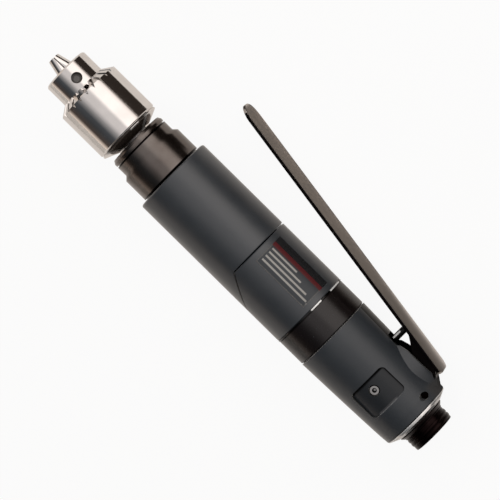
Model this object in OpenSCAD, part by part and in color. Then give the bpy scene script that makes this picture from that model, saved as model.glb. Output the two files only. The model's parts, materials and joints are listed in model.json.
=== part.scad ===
// Straight air drill: lever throttle, vane motor, one planetary gear stage and a keyed three-jaw chuck.
// Pieces are drawn upright: the tool axis is Z, the air inlet face is at zero, the lever points to +X
// and the side with the screw recess faces -Y. The module lay_down turns them into the resting frame:
// tool axis along +X, recess side up, the tool lying on its grip and on the edge of its lever.

/* [Housing] */
// Radius of the motor housing and of the front grip
grip_r = 21.9; // [21.5:0.1:24]
// Radius of the throttle housing at its rear edge
throttle_rear_r = 19.8; // [19.4:0.1:21]
// Length of the throttle housing
throttle_len = 58.5; // [57:0.5:70]
// Radius of the exhaust band
band_r = 21.7; // [21.3:0.1:23]
// Length of the exhaust band with the seam in front of the throttle housing
band_len = 16.25; // [13:0.25:24]
// Thickness of the bright spacer ring
spacer_len = 0.75; // [0.5:0.05:2]
// Length of the motor housing up to its seam with the front grip
motor_len = 40.5; // [38:0.5:60]
// Length of the front grip
grip_len = 56.2; // [52:0.1:70]
// Length of the tongue that the front grip sends back under the motor housing
tongue_len = 20.9; // [10:0.1:26]
// Height of the tongue above the lowest line of the grip
tongue_h = 14.6; // [8:0.1:18]
// Rounding of the grip's front edge
grip_round = 1.2; // [0.5:0.1:2.5]
// Width of the visible seams
seam = 0.5; // [0.3:0.05:0.8]
// Radius of the bore that holds the motor
motor_bore_r = 17.5; // [17.3:0.05:17.8]
// Wall of the motor housing's neck under the exhaust band
neck_wall = 1.5; // [1.2:0.05:1.6]
// Depth of the neck inside the throttle housing
neck_in_len = 9.5; // [7:0.1:12]

/* [Inlet] */
// Radius of the threaded collar of the inlet bushing
inlet_r = 12.3; // [11.5:0.1:13]
// Length of the threaded collar with its shoulder
inlet_len = 10.2; // [8:0.1:14]
// Wall radius of the inlet's inside thread
inlet_bore_r = 5.56; // [5:0.02:6]
// Depth of the inlet's inside thread
inlet_bore_len = 14; // [11:0.25:15]
// Radius of the bushing's shank in the throttle housing
shank_r = 8.45; // [8.2:0.05:8.6]
// Length of the shank inside the throttle housing
shank_in_len = 18; // [17:0.25:19]
// Length of the bright conical ring
ring_len = 2.8; // [2:0.1:6]
// Small radius of the conical ring
ring_small_r = 14.3; // [13:0.1:16]

/* [Throttle] */
// Width of the lever plate
lever_w = 18.5; // [13:0.5:20]
// Thickness of the lever plate
lever_t = 2.2; // [1.6:0.1:3]
// Length of the lever plate
lever_len = 166; // [120:1:175]
// Tilt of the lever at rest
lever_tilt = 9; // [8:0.1:11]
// Distance of the lever plate's underside from the pivot
lever_drop = 11; // [10.2:0.1:12]
// Radius of the lever plate's corners at its tip
lever_tip_round = 5; // [2:0.25:6]
// Height of the lever pivot above the tool axis
pivot_h = 14.2; // [14:0.1:15]
// Distance of the lever pivot from the rear edge of the throttle housing
pivot_inset = 5; // [4.9:0.1:6]
// Radius of the lever pin
pin_r = 2.05; // [1.5:0.05:2.3]
// Radius of the plunger
plunger_r = 1.85; // [1.4:0.05:2.2]
// Distance of the plunger from the rear edge of the throttle housing
plunger_inset = 35; // [33:0.25:36]
// Radius of the valve chamber
chamber_r = 7.5; // [7:0.05:7.8]
// Length of the valve chamber
chamber_len = 20; // [18:0.25:22]
// Length of the valve seat
seat_len = 3; // [2:0.25:4]
// Radius of the valve head
valve_r = 5.6; // [5.2:0.05:5.9]
// Length of the valve head
valve_len = 2.4; // [1.6:0.1:3]
// Radius of the valve stem
stem_r = 1.5; // [1.2:0.05:1.7]

/* [Side recess] */
// Length of the recess along the tool
recess_len = 17; // [13:0.5:19]
// Height of the recess across the tool
recess_h = 23; // [16:0.5:25]
// Depth of the recess at its rear edge
recess_depth = 0.7; // [0.4:0.1:1.1]
// Rounding of the recess corners
recess_round = 2.5; // [1:0.25:4]
// Distance of the recess from the rear edge of the throttle housing
recess_inset = 14; // [12:0.25:18]
// Radius of the screw head in the recess
screw_head_r = 2.3; // [2:0.1:3]

/* [Label] */
// Length of the label plate along the tool
label_len = 33; // [20:0.5:34]
// Angle that the label plate spans round the housing
label_span = 50; // [30:1:60]
// Thickness of the label plate
label_t = 0.4; // [0.2:0.05:0.6]

/* [Motor] */
// Radius of the rotor
rotor_r = 12.8; // [12.2:0.05:13]
// Radius of the cylinder bore
cylinder_r = 14.6; // [14.5:0.05:14.9]
// Offset of the cylinder bore from the rotor axis
cylinder_offset = 1.6; // [1.2:0.05:1.6]
// Number of vanes
vane_n = 5; // [4:1:6]
// Thickness of a vane
vane_t = 1.5; // [1:0.1:2]
// Depth of a vane in the rotor
vane_depth = 6; // [4:0.25:6.5]
// Length of each motor end plate
plate_len = 8; // [7.5:0.25:10]
// Radius of the rotor shaft
shaft_r = 5; // [4.95:0.05:5.2]
// Outer radius of the rotor bearings
rotor_bearing_r = 9.5; // [9.3:0.05:10.5]
// Width of the rotor bearings
rotor_bearing_w = 5; // [4:0.25:6]

/* [Gears] */
// Module of the gear teeth
gear_m = 0.7; // [0.68:0.005:0.71]
// Teeth on the rotor pinion and on each planet
pinion_z = 12; // [12:12:12]
// Length of the ring gear
ring_gear_len = 11; // [10:0.25:14]
// Length of the planet gears
planet_len = 9; // [7:0.25:9.5]
// Radius of the planet pins
planet_pin_r = 2; // [1.5:0.05:2.2]

/* [Nose] */
// Radius of the gear case
case_r = 18.5; // [18.3:0.05:18.7]
// Length of the gear case in front of the grip, up to its chamfer
case_show_len = 14.2; // [10:0.1:20]
// Radius of the gear case's neck and of the bearing cap
cap_r = 16.5; // [16.2:0.1:17.5]
// Length of the gear case's neck with its chamfer
case_neck_len = 4; // [3:0.1:8]
// Length of the bearing cap
cap_len = 7.5; // [6.5:0.1:9]
// Radius of the spindle in its bearings
spindle_r = 7.5; // [7.2:0.05:7.6]
// Outer radius of the spindle bearing
spindle_bearing_r = 14; // [13.6:0.05:14.2]
// Width of the spindle bearing
spindle_bearing_w = 7; // [6:0.25:8]
// Length of the rear spindle bush
bush_len = 10; // [7:0.25:12]

/* [Chuck] */
// Radius of the chuck sleeve
sleeve_r = 18.4; // [18.2:0.1:20]
// Length of the chuck sleeve's smooth part
sleeve_len = 27.8; // [26:0.1:30]
// Length of the toothed bevel
bevel_len = 3.5; // [3:0.1:4]
// Radius of the chuck nose
nose_r = 12.95; // [12.6:0.05:13.4]
// Length of the chuck nose in front of the teeth
nose_len = 13; // [12:0.25:16]
// Number of key teeth on the sleeve
tooth_n = 24; // [20:1:30]
// Radius of the key holes
key_r = 2.9; // [2.4:0.05:3.2]
// Depth of the key holes
key_depth = 5; // [4:0.25:5.5]
// Radius of a jaw
jaw_r = 3.3; // [3:0.05:3.4]
// Slant of the jaws to the tool axis
jaw_slant = 15; // [14:0.25:16]
// Length that the closed jaws stand out of the nose
jaw_out = 8.2; // [7:0.1:10]
// Outer radius of the closed jaws at their tips
jaw_tip_r = 3.2; // [2.9:0.05:3.5]
// Slide of a jaw from closed to open
jaw_travel = 18; // [12:0.5:18.25]
// Angle of the visible key hole from the lever at rest
key_angle = -67.5; // [-90:0.5:-30]
// Radius of the spindle thread in the chuck
thread_r = 4.76; // [4.4:0.02:5]

/* [Hidden] */
$fn = 72;

// Clearances: a fit between pieces that stay together, a running fit, room between moving pieces
slip = 0.05;
running = 0.05;
room = 0.3;
// Overrun of every cut
over = 1;
// Step by which a broken edge is cut back
edge = 0.4;

// Colours of the finishes
composite = "#3d4248";
gloss_black = "#191716";
black_oxide = "#2a2624";
bright = "#cfcdca";
nickel = "#8d8680";
steel = "#a9acb0";
brass = "#b08d4a";
rubber = "#222222";
felt = "#8c8574";

// Places along the tool axis, from the inlet face to the front
ring_z = inlet_len;
throttle_z = ring_z + ring_len;
band_z = throttle_z + throttle_len;
spacer_z = band_z + band_len;
motor_z = spacer_z + spacer_len;
seam_z = motor_z + motor_len;
grip_end_z = seam_z + grip_len;
case_neck_z = grip_end_z + case_show_len;
cap_z = case_neck_z + case_neck_len;
chuck_gap = 0.5;
chuck_z = cap_z + cap_len + chuck_gap;

// Motor stack: lip, rear plate, cylinder, front plate and the gear case's spigot
neck_r = motor_bore_r + neck_wall;
seam_depth = 1;
neck_z = band_z - neck_in_len;
lip_len = 2;
lip_r = 14;
spigot_len = 6;
motor_r = motor_bore_r - slip;
rear_plate_z = neck_z + lip_len;
cylinder_z = rear_plate_z + plate_len;
spigot_z = seam_z - spigot_len;
front_plate_z = spigot_z - plate_len;
plate_wall = (plate_len - rotor_bearing_w) / 2;
port_r = 1.5;
port_angle = 150;
port_gap = 4;
ports_n = 3;
port_z = cylinder_z + 2 * port_r + seam;
dowel_r = 1;
dowel_h = (motor_r + cylinder_r - cylinder_offset) / 2;

// Gear stage
planet_n = 3;
ring_z_teeth = 3 * pinion_z;
pressure = 25;
backlash = 0.1;
tooth_foot_share = 1.25;
pinion_pitch_r = gear_m * pinion_z / 2;
carrier_r = 2 * pinion_pitch_r;
ring_pitch_r = gear_m * ring_z_teeth / 2;
ring_wall = 2;
ring_outer_r = ring_pitch_r + tooth_foot_share * gear_m + ring_wall;
ring_seat = 3;
ring_gear_z = spigot_z + ring_seat;
carrier_z = ring_gear_z + ring_gear_len + edge;
carrier_len = 7;
carrier_plate_r = ring_pitch_r;
planet_z = carrier_z - room - planet_len;
pin_head_len = 1;
pin_head_share = 1.35;

// Spindle bearings and seal
bush_wall = 3.4;
bush_r = spindle_r + bush_wall;
bush_z = carrier_z + carrier_len + room;
spindle_shoulder = 0.9;
cap_spigot_len = 3.3;
spigot_wall = 2;
bearing_z = cap_z - spindle_bearing_w - cap_spigot_len;
seal_wall = 2.5;
seal_len = 2.5;
cap_lip = 1.5;
groove_w = 0.8;
groove_depth = 1;
groove_inset = 3;
cap_chamfer = 1;
cap_chamfer_len = 1.6;

// Ball bearings: shares of the ball's size, and the gap round each ball
ball_gap = 0.1;
ball_share = 0.3;
race_share = 0.45;
cage_share = 0.3;
cage_w_share = 1.25;
rotor_balls_n = 8;
spindle_balls_n = 9;

// Throttle parts
pivot_z = throttle_z + pivot_inset;
plunger_z = throttle_z + plunger_inset;
seat_z = throttle_z + shank_in_len;
chamber_z = seat_z + seat_len;
shank_bore_r = shank_r + slip;
shoulder_r = 14;
shoulder_len = 2.2;
shoulder_flat = 0.6;
skirt_wall = 1.25;
skirt_r = shank_r - skirt_wall;
screen_len = 1;
screen_hole_r = 0.6;
screen_ring_n = 10;
screen_share = 0.3;
passage_r = 5;
seat_hole_r = 3.2;
valve_gap = 0.1;
stem_past = 2.5;
wire_r = 0.5;
spring_turns = 5;
spring_r = valve_r - wire_r - seam;
spring_rings = 8;
spring_sides = 6;
ear_r = 3.5;
ear_t = 1.8;
ear_rear = 8;
ear_front = 24.5;
ear_root = 1;
slot_w = 9.5;
slot_deep_len = 20.5;
slot_len = 37.7;
slot_floor = 18.5;
mouth_inset = 0.8;
mouth_slant = 34;
lever_rear = 3.5;
lever_rear_round = 4;
plunger_top = pivot_h + lever_drop / cos(lever_tilt) + (plunger_z - pivot_z) * tan(lever_tilt) - room;
plunger_bottom = stem_r + room - running;
dome_share = 0.8;
plunger_bush_r = 2 * plunger_r - slip;
gland_wall = 0.6;
o_ring_r = 0.5;
pin_inset = 3;
pin_reach = sqrt(pow(throttle_rear_r, 2) - pow(pivot_h, 2)) - pin_inset;

// Boss round the lever slot: height of its top, its plan and the shares of its side outline
boss_top = 23.2;
boss_base = 19.4;
boss_start = 2;
boss_len = 34;
boss_plan_r = 30;
boss_foot = 17.8;
boss_half_w = 10.4;
boss_side_slant = 34.6;
boss_z_shares = [0, 0.16, 0.35, 0.71, 1];
boss_h_shares = [0, 1, 0.92, 0.87, 0.3];

// Throttle housing's swelling outline
swell_share = 0.7;
swell_steps = 12;
arc_steps = 6;

// Side screw
screw_r = 1.5;
screw_len = 9;
socket_r = 1.2;
socket_depth = 1.2;
screw_offset = 2.25;
screw_clear = 0.5;

// Label place
label_frame = 0.1;
label_start = 26;

// Chuck: rear cone, flange, nut groove, sleeve, teeth and jaws
chuck_neck_r = 10.6;
chuck_neck_len = 0.5;
chuck_cone_len = 3.1;
flange_len = 1.6;
flange_drop = 0.3;
sleeve_wall = 1.55;
sleeve_bore_r = sleeve_r - sleeve_wall;
chuck_core_r = sleeve_bore_r - running;
flange_z = chuck_z + chuck_neck_len + chuck_cone_len;
sleeve_z = flange_z + flange_len;
teeth_z = sleeve_z + sleeve_len;
nose_z = teeth_z + bevel_len;
nose_end_z = nose_z + nose_len;
jaw_tip_z = nose_end_z + jaw_out;
nut_len = 4.5;
nut_z = teeth_z - nut_len;
nut_split = 0.2;
groove_clear = 0.5;
bevel_small_r = nose_r + running + edge;
bevel_edge = 0.3;
tooth_depth = 1.6;
tooth_share = 0.42;
shank_hole_r = 4.9;
hub_len = 14;
hub_wall = 2;
key_inset = 7.9;
jaw_gap = 0.15;
jaw_tip_x = jaw_tip_r - jaw_r / cos(jaw_slant);
jaw_back_z = nut_z - edge;
jaw_len = (jaw_tip_z - jaw_back_z) / cos(jaw_slant);
jaw_reach = jaw_len + jaw_travel + jaw_r * tan(jaw_slant) + edge;
function jaw_outer_r(z) = jaw_tip_r + (jaw_tip_z - z) * tan(jaw_slant);

// Roll of the tool about its axis when it lies on its grip and the lever's far edge
lever_top = lever_drop + lever_t;
tip_u = lever_rear + lever_len - lever_tip_round;
tip_h = pivot_h + tip_u * sin(lever_tilt) + lever_top * cos(lever_tilt);
roll = asin(grip_r / norm([tip_h, lever_w / 2])) - atan2(lever_w / 2, tip_h);

// Turns the upright tool into its resting frame
module lay_down() {
    rotate([roll - 90, 0, 0]) rotate([0, 90, 0]) children();
}

// Revolves an outline of [radius, place along the axis] about the tool axis
module turned(points) {
    rotate_extrude() polygon(points);
}

// Ring with a bore, from z over a length
module tube(r_out, r_in, z, len) {
    translate([0, 0, z]) difference() {
        cylinder(r = r_out, h = len);
        translate([0, 0, -over]) cylinder(r = r_in, h = len + 2 * over);
    }
}

// Bore along the tool axis, from z over a length
module bore(r, z, len) {
    translate([0, 0, z]) cylinder(r = r, h = len);
}

// Extrudes a side outline of [place along the axis, height toward the lever] across the tool
module across(width) {
    rotate([-90, -90, 0]) translate([0, 0, -width / 2]) linear_extrude(width) children();
}

// Cylinder that points away from the tool axis at an angle from the lever, from one radius to another
module spoke(r, from, to, angle, z) {
    translate([0, 0, z]) rotate([0, 0, angle]) rotate([0, 90, 0])
        translate([0, 0, from]) cylinder(r = r, h = to - from);
}

// Rectangle with round corners, of [width, height], centred
module round_rect(size, r) {
    square([size[0] - 2 * r, size[1]], center = true);
    square([size[0], size[1] - 2 * r], center = true);
    for (sx = [-1, 1], sy = [-1, 1])
        translate([sx * (size[0] / 2 - r), sy * (size[1] / 2 - r)]) circle(r = r);
}

// Points of a quarter arc about a centre, from one angle to another
function arc(centre, r, from, to) = [
    for (i = [0 : arc_steps])
        let (a = from + (to - from) * i / arc_steps)
        [centre[0] + r * cos(a), centre[1] + r * sin(a)]
];

// Radius of the throttle housing at a share of its length
function swell(share) = throttle_rear_r + (grip_r - throttle_rear_r) * pow(share, swell_share);

// Solid of the throttle housing's outline
module throttle_form() {
    wall = [for (i = [0 : swell_steps]) let (s = i / swell_steps)
        [swell(s), throttle_z + edge + (throttle_len - edge) * s]];
    turned(concat([[0, throttle_z], [throttle_rear_r - edge, throttle_z]], wall, [[0, band_z]]));
}

// Raised boss that carries the lever, with sides that slope and run out at both ends
module lever_boss() {
    rise = boss_top - boss_base;
    outline = [for (i = [0 : len(boss_z_shares) - 1])
        [throttle_z + boss_start + boss_len * boss_z_shares[i], boss_base + rise * boss_h_shares[i]]];
    low = chamber_r + over;
    reach = boss_top + over;
    intersection() {
        across(2 * grip_r) polygon(concat(
            [[throttle_z + boss_start, low]], outline, [[throttle_z + boss_start + boss_len, low]]));
        boss_cone(1, reach);
        boss_cone(-1, reach);
    }
}

// Sloping side of the boss
module boss_cone(side, reach) {
    translate([0, side * (boss_plan_r - boss_half_w), throttle_z + boss_start + boss_len / 2])
        rotate([0, 90, 0]) cylinder(
            h = reach,
            r1 = boss_plan_r + boss_foot * tan(boss_side_slant),
            r2 = boss_plan_r - (reach - boss_foot) * tan(boss_side_slant));
}

module inlet_bushing() {
    color(black_oxide) lay_down() difference() {
        turned([
            [0, 0], [inlet_r - 2 * edge, 0], [inlet_r, 2 * edge], [inlet_r, ring_z - shoulder_len],
            [shoulder_r, ring_z - shoulder_flat], [shoulder_r, ring_z], [shank_r, ring_z],
            [shank_r, seat_z], [0, seat_z]
        ]);
        bore(inlet_bore_r, -over, inlet_bore_len + 2 * over);
        bore(skirt_r, inlet_bore_len, seat_z - inlet_bore_len + over);
    }
}

module inlet_screen() {
    color(brass) lay_down() difference() {
        bore(skirt_r - slip, inlet_bore_len, screen_len);
        bore(screen_hole_r, inlet_bore_len - over, screen_len + 2 * over);
        for (ring = [1, 2], i = [0 : ring * screen_ring_n / 2 - 1])
            rotate([0, 0, i * 720 / (ring * screen_ring_n)])
                translate([ring * inlet_bore_r * screen_share, 0, 0])
                    bore(screen_hole_r, inlet_bore_len - over, screen_len + 2 * over);
    }
}

module rear_ring() {
    color(bright) lay_down() difference() {
        turned([
            [0, ring_z], [ring_small_r, ring_z], [throttle_rear_r - edge, throttle_z - edge],
            [throttle_rear_r - edge, throttle_z], [0, throttle_z]
        ]);
        bore(shank_bore_r, ring_z - over, ring_len + 2 * over);
    }
}

module throttle_housing() {
    color(composite) lay_down() difference() {
        union() {
            throttle_form();
            lever_boss();
        }
        // Bores along the axis: bushing and seat, chamber, passage, motor neck
        bore(shank_bore_r, throttle_z - over, shank_in_len + seat_len + over);
        bore(chamber_r, chamber_z - over, chamber_len + over);
        bore(passage_r, chamber_z, neck_z - chamber_z + over);
        bore(neck_r + slip, neck_z, neck_in_len + over);
        ear_slot();
        // Holes for the lever pin and the plunger bushing
        translate([pivot_h, 0, pivot_z]) rotate([90, 0, 0])
            cylinder(r = pin_r + running, h = 2 * grip_r, center = true);
        spoke(plunger_bush_r + slip, 0, boss_top, 0, plunger_z);
        // Recess on the side, with the screw hole
        recess_cut();
        spoke(screw_r + slip, chamber_r + 2 * edge, grip_r, -90, screw_z());
        spoke(screw_head_r + screw_clear, screw_seat_r(), grip_r, -90, screw_z());
    }
}

// Slot for the lever's ears: a closed pocket at the pivot, deep under the ears, shallow at the plunger
module ear_slot() {
    z = pivot_z - ear_r - room;
    deep_z = z + slot_deep_len;
    low = pivot_h - ear_r - room;
    roof = pivot_h + ear_r + room;
    top = boss_top + over;
    mouth_z = pivot_z - mouth_inset;
    across(slot_w) polygon([
        [z, low], [z, roof], [mouth_z, roof], [mouth_z + (top - roof) * tan(mouth_slant), top],
        [z + slot_len, top], [z + slot_len, slot_floor], [deep_z, slot_floor], [deep_z, low]
    ]);
}

// Place of the side screw along the tool, and the radii of its head's two faces
function screw_z() = throttle_z + recess_inset + recess_len / 2 + screw_offset;
function screw_top_r() = recess_floor_r() - edge;
function screw_seat_r() = screw_top_r() - socket_depth - edge;

// Radius of the recess's floor, and the cut of the recess above it
function recess_floor_r() = swell(recess_inset / throttle_len) - recess_depth;
module recess_cut() {
    difference() {
        translate([0, -chamber_r, throttle_z + recess_inset + recess_len / 2]) rotate([90, 0, 0])
            linear_extrude(grip_r) round_rect([recess_h, recess_len], recess_round);
        bore(recess_floor_r(), throttle_z, throttle_len);
    }
}

module valve_seat() {
    color(brass) lay_down() tube(shank_r, seat_hole_r, seat_z, seat_len);
}

module throttle_valve() {
    back_z = seat_z - valve_gap - valve_len;
    tip_z = plunger_z + stem_past;
    color(steel) lay_down() turned([
        [0, back_z], [valve_r - 2 * edge, back_z], [valve_r, back_z + 2 * edge],
        [valve_r, seat_z - valve_gap], [stem_r, seat_z - valve_gap], [stem_r, tip_z - edge],
        [stem_r - edge, tip_z], [0, tip_z]
    ]);
}

// Closed tube of spring wire along a helix, as one polyhedron
module valve_spring() {
    foot_z = inlet_bore_len + screen_len + wire_r + running;
    head_z = seat_z - valve_gap - valve_len - wire_r - running;
    count = spring_turns * spring_rings;
    points = [for (i = [0 : count], j = [0 : spring_sides - 1])
        let (turn = 360 * i / spring_rings, side = 360 * j / spring_sides)
        [(spring_r + wire_r * cos(side)) * cos(turn), (spring_r + wire_r * cos(side)) * sin(turn),
            foot_z + (head_z - foot_z) * i / count + wire_r * sin(side)]];
    walls = [for (i = [0 : count - 1], j = [0 : spring_sides - 1], half = [0, 1])
        let (k = (j + 1) % spring_sides, a = i * spring_sides, b = a + spring_sides)
        half == 0 ? [a + j, b + j, b + k] : [a + j, b + k, a + k]];
    start = [for (j = [1 : spring_sides - 2]) [0, j, j + 1]];
    last = count * spring_sides;
    end = [for (j = [1 : spring_sides - 2]) [last, last + j + 1, last + j]];
    color(steel) lay_down() polyhedron(points, concat(walls, start, end));
}

module throttle_plunger() {
    dome = plunger_r * dome_share;
    color(bright) lay_down() translate([0, 0, plunger_z]) rotate([0, 90, 0]) turned(concat(
        [[0, plunger_bottom]],
        [for (i = [1 : arc_steps]) let (a = 90 * i / arc_steps)
            [plunger_r * sin(a), plunger_bottom + dome * (1 - cos(a))]],
        [for (i = [0 : arc_steps - 1]) let (a = 90 * i / arc_steps)
            [plunger_r * cos(a), plunger_top - dome * (1 - sin(a))]],
        [[0, plunger_top]]));
}

module plunger_bushing() {
    foot = chamber_r + edge;
    gland = slot_floor - 2 * o_ring_r - 2 * edge;
    color(brass) lay_down() translate([0, 0, plunger_z]) rotate([0, 90, 0]) difference() {
        bore(plunger_bush_r, foot, slot_floor - foot);
        bore(plunger_r + running, 0, slot_floor + over);
        bore(plunger_bush_r - gland_wall, gland, slot_floor);
    }
}

module plunger_o_ring() {
    middle = plunger_r + running + o_ring_r;
    color(rubber) lay_down() translate([slot_floor - o_ring_r - 2 * edge + running, 0, plunger_z])
        rotate([0, 90, 0]) rotate_extrude() translate([middle, 0]) circle(r = o_ring_r);
}

// Outline of the lever plate: along the lever and across it
module lever_plan() {
    tip = lever_rear + lever_len;
    half = lever_w / 2;
    for (end = [[lever_rear, 1, lever_rear_round], [tip, -1, lever_tip_round]]) {
        for (side = [-1, 1])
            translate([end[0] + end[1] * end[2], side * (half - end[2])]) circle(r = end[2]);
        translate([min(end[0], end[0] + end[1] * end[2]), end[2] - half])
            square([end[2], lever_w - 2 * end[2]]);
    }
    translate([lever_rear + lever_rear_round, -half])
        square([lever_len - lever_rear_round - lever_tip_round, lever_w]);
}

module throttle_lever() {
    ear_y = slot_w / 2 - room - ear_t;
    low = ear_r * sin(45);
    color(nickel) lay_down() translate([pivot_h, 0, pivot_z]) rotate([0, lever_tilt, 0]) difference() {
        union() {
            translate([lever_drop, 0, 0]) rotate([0, 90, 0]) linear_extrude(lever_t)
                mirror([1, 0, 0]) lever_plan();
            for (side = [-1, 1]) translate([0, side * (ear_y + ear_t / 2), 0]) across(ear_t) {
                circle(r = ear_r);
                polygon([
                    [0, ear_r], [ear_rear, lever_drop + ear_root], [ear_front, lever_drop + ear_root],
                    [ear_front, lever_drop - ear_root], [low, -low]
                ]);
            }
        }
        rotate([90, 0, 0]) cylinder(r = pin_r + running, h = slot_w, center = true);
    }
}

module lever_pin() {
    color(steel) lay_down() translate([pivot_h, 0, pivot_z]) rotate([90, 0, 0])
        cylinder(r = pin_r, h = 2 * pin_reach, center = true);
}

module side_screw() {
    color(bright) lay_down() translate([0, 0, screw_z()]) rotate([90, 0, 0]) difference() {
        union() {
            bore(screw_head_r, screw_seat_r(), screw_top_r() - screw_seat_r());
            bore(screw_r, screw_seat_r() - screw_len, screw_len + edge);
        }
        translate([0, 0, screw_top_r() - socket_depth])
            cylinder(r = socket_r, h = socket_depth + over, $fn = 6);
    }
}

module exhaust_band() {
    z = band_z + seam;
    color(gloss_black) lay_down() difference() {
        turned([
            [0, z], [band_r - edge, z], [band_r, z + edge], [band_r, spacer_z - edge],
            [band_r - edge, spacer_z], [0, spacer_z]
        ]);
        bore(muffler_r() + slip, z - over, band_len + 2 * over);
    }
}

// Outer radius of the muffler ring, between the neck and the band
function muffler_r() = (neck_r + band_r) / 2;

module muffler_ring() {
    color(felt) lay_down() tube(muffler_r(), neck_r + slip, band_z + 2 * seam, band_len - 3 * seam);
}

module spacer_ring() {
    color(bright) lay_down() tube(grip_r + slip, neck_r + slip, spacer_z, spacer_len);
}

// Wedge under the tool that belongs to the front grip, moved back from the grip by a gap
module tongue_wedge(gap) {
    foot = -grip_r - over;
    slope = tongue_len / tongue_h;
    across(2 * grip_r + 2 * over) polygon([
        [seam_z - tongue_len - over * slope - gap, foot], [seam_z - gap, tongue_h - grip_r],
        [seam_z + over, tongue_h - grip_r], [seam_z + over, foot]
    ]);
}

module motor_housing() {
    color(composite) lay_down() difference() {
        union() {
            bore(neck_r, neck_z, seam_z - neck_z - seam);
            difference() {
                turned([
                    [0, motor_z], [grip_r - edge, motor_z], [grip_r, motor_z + edge],
                    [grip_r, seam_z - seam - edge], [grip_r - edge, seam_z - seam], [0, seam_z - seam]
                ]);
                tongue_wedge(seam);
            }
        }
        bore(motor_bore_r, rear_plate_z, seam_z - rear_plate_z);
        bore(lip_r, neck_z - over, lip_len + 2 * over);
        exhaust_ports();
        label_shell(grip_r - label_t - label_frame, grip_r + over, label_frame);
    }
}

// Exhaust ports through the cylinder and the neck, under the muffler ring
module exhaust_ports() {
    for (i = [0 : ports_n - 1])
        spoke(port_r, rotor_r, neck_r + over, port_angle, port_z + i * port_gap);
}

// Stretch of a shell where the label lies, widened all round by a frame
module label_shell(r_in, r_out, frame) {
    turn = atan(frame / grip_r);
    z = motor_z + (motor_len - seam - label_len) / 2 - frame;
    rotate([0, 0, -label_start - label_span - turn]) rotate_extrude(angle = label_span + 2 * turn)
        translate([r_in, z]) square([r_out - r_in, label_len + 2 * frame]);
}

module label_plate() {
    color(gloss_black) lay_down()
        label_shell(grip_r - label_t - label_frame + slip, grip_r - label_frame, 0);
}

module motor_cylinder() {
    color(steel) lay_down() difference() {
        bore(motor_r, cylinder_z, front_plate_z - cylinder_z);
        translate([-cylinder_offset, 0, 0])
            bore(cylinder_r, cylinder_z - over, front_plate_z - cylinder_z + 2 * over);
        exhaust_ports();
        dowel_hole();
    }
}

// Hole for the dowel that lines up the cylinder and its end plates
module dowel_hole() {
    translate([dowel_h, 0, 0]) bore(dowel_r + slip, dowel_z(), dowel_end_z() - dowel_z());
}

function dowel_z() = cylinder_z - plate_len / 2;
function dowel_end_z() = front_plate_z + plate_len / 2;

module motor_dowel() {
    color(steel) lay_down() translate([dowel_h, 0, 0])
        bore(dowel_r, dowel_z() + slip, dowel_end_z() - dowel_z() - 2 * slip);
}

// End plate of the motor, with a bearing pocket and a shaft hole
module end_plate(z) {
    color(steel) lay_down() difference() {
        bore(motor_r, z, plate_len);
        bore(shaft_r + room, z - over, plate_len + 2 * over);
        bore(rotor_bearing_r + slip, z + plate_wall, plate_len);
        dowel_hole();
    }
}

module rear_end_plate() {
    end_plate(rear_plate_z);
}

module front_end_plate() {
    end_plate(front_plate_z);
}

module rotor() {
    z = cylinder_z + room;
    len = front_plate_z - cylinder_z - 2 * room;
    rear_z = rear_plate_z + plate_wall;
    front_z = front_plate_z + plate_wall + rotor_bearing_w;
    pinion_end_z = carrier_z - room;
    color(steel) lay_down() {
        difference() {
            bore(rotor_r, z, len);
            for (i = [0 : vane_n - 1]) rotate([0, 0, 360 * i / vane_n])
                translate([rotor_r - vane_depth - room, -vane_t / 2 - running, z - over])
                    cube([rotor_r, vane_t + 2 * running, len + 2 * over]);
        }
        bore(shaft_r - slip, rear_z, z - rear_z + edge);
        bore(shaft_r - slip, z + len - edge, front_z - z - len + edge);
        translate([0, 0, front_z - edge]) linear_extrude(pinion_end_z - front_z + edge)
            gear_outline(pinion_z, backlash, 0, 1, tooth_foot_share);
    }
}

module vanes() {
    z = cylinder_z + room;
    len = front_plate_z - cylinder_z - 2 * room;
    color(felt) lay_down() for (i = [0 : vane_n - 1]) rotate([0, 0, 360 * i / vane_n])
        translate([rotor_r - vane_depth, -vane_t / 2, z]) cube([vane_depth - running, vane_t, len]);
}

// Half angle of an involute tooth at a radius, and the involute function in degrees
function involute(a) = tan(a) * 180 / PI - a;
function half_tooth(teeth, thin, r) =
    let (pitch_r = gear_m * teeth / 2, base_r = pitch_r * cos(pressure))
    90 / teeth - thin / (2 * pitch_r) * 180 / PI + involute(pressure)
        - involute(acos(min(base_r / r, 1)));

// Gear outline: teeth thinned by an amount, tip and foot given as shares of the module
module gear_outline(teeth, thin, turn, tip_share, foot_share) {
    pitch_r = gear_m * teeth / 2;
    tip_r = pitch_r + tip_share * gear_m;
    foot_r = pitch_r - foot_share * gear_m;
    start_r = max(foot_r, pitch_r * cos(pressure));
    flank_shares = [0, 0.25, 0.6, 1];
    flank = [for (share = flank_shares) start_r + (tip_r - start_r) * share];
    radii = concat(foot_r < start_r ? [foot_r] : [], flank);
    last = len(radii) - 1;
    polygon([for (t = [0 : teeth - 1], i = [0 : 2 * last + 1])
        let (right = i <= last, r = radii[right ? i : 2 * last + 1 - i],
            half = half_tooth(teeth, thin, max(r, start_r)),
            a = turn + 360 * t / teeth + (right ? -half : half))
        [r * cos(a), r * sin(a)]]);
}

module ring_gear() {
    color(steel) lay_down() translate([0, 0, ring_gear_z]) difference() {
        cylinder(r = ring_outer_r, h = ring_gear_len);
        translate([0, 0, -over]) linear_extrude(ring_gear_len + 2 * over)
            gear_outline(ring_z_teeth, -backlash, 180 / ring_z_teeth, tooth_foot_share, 1);
    }
}

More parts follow.
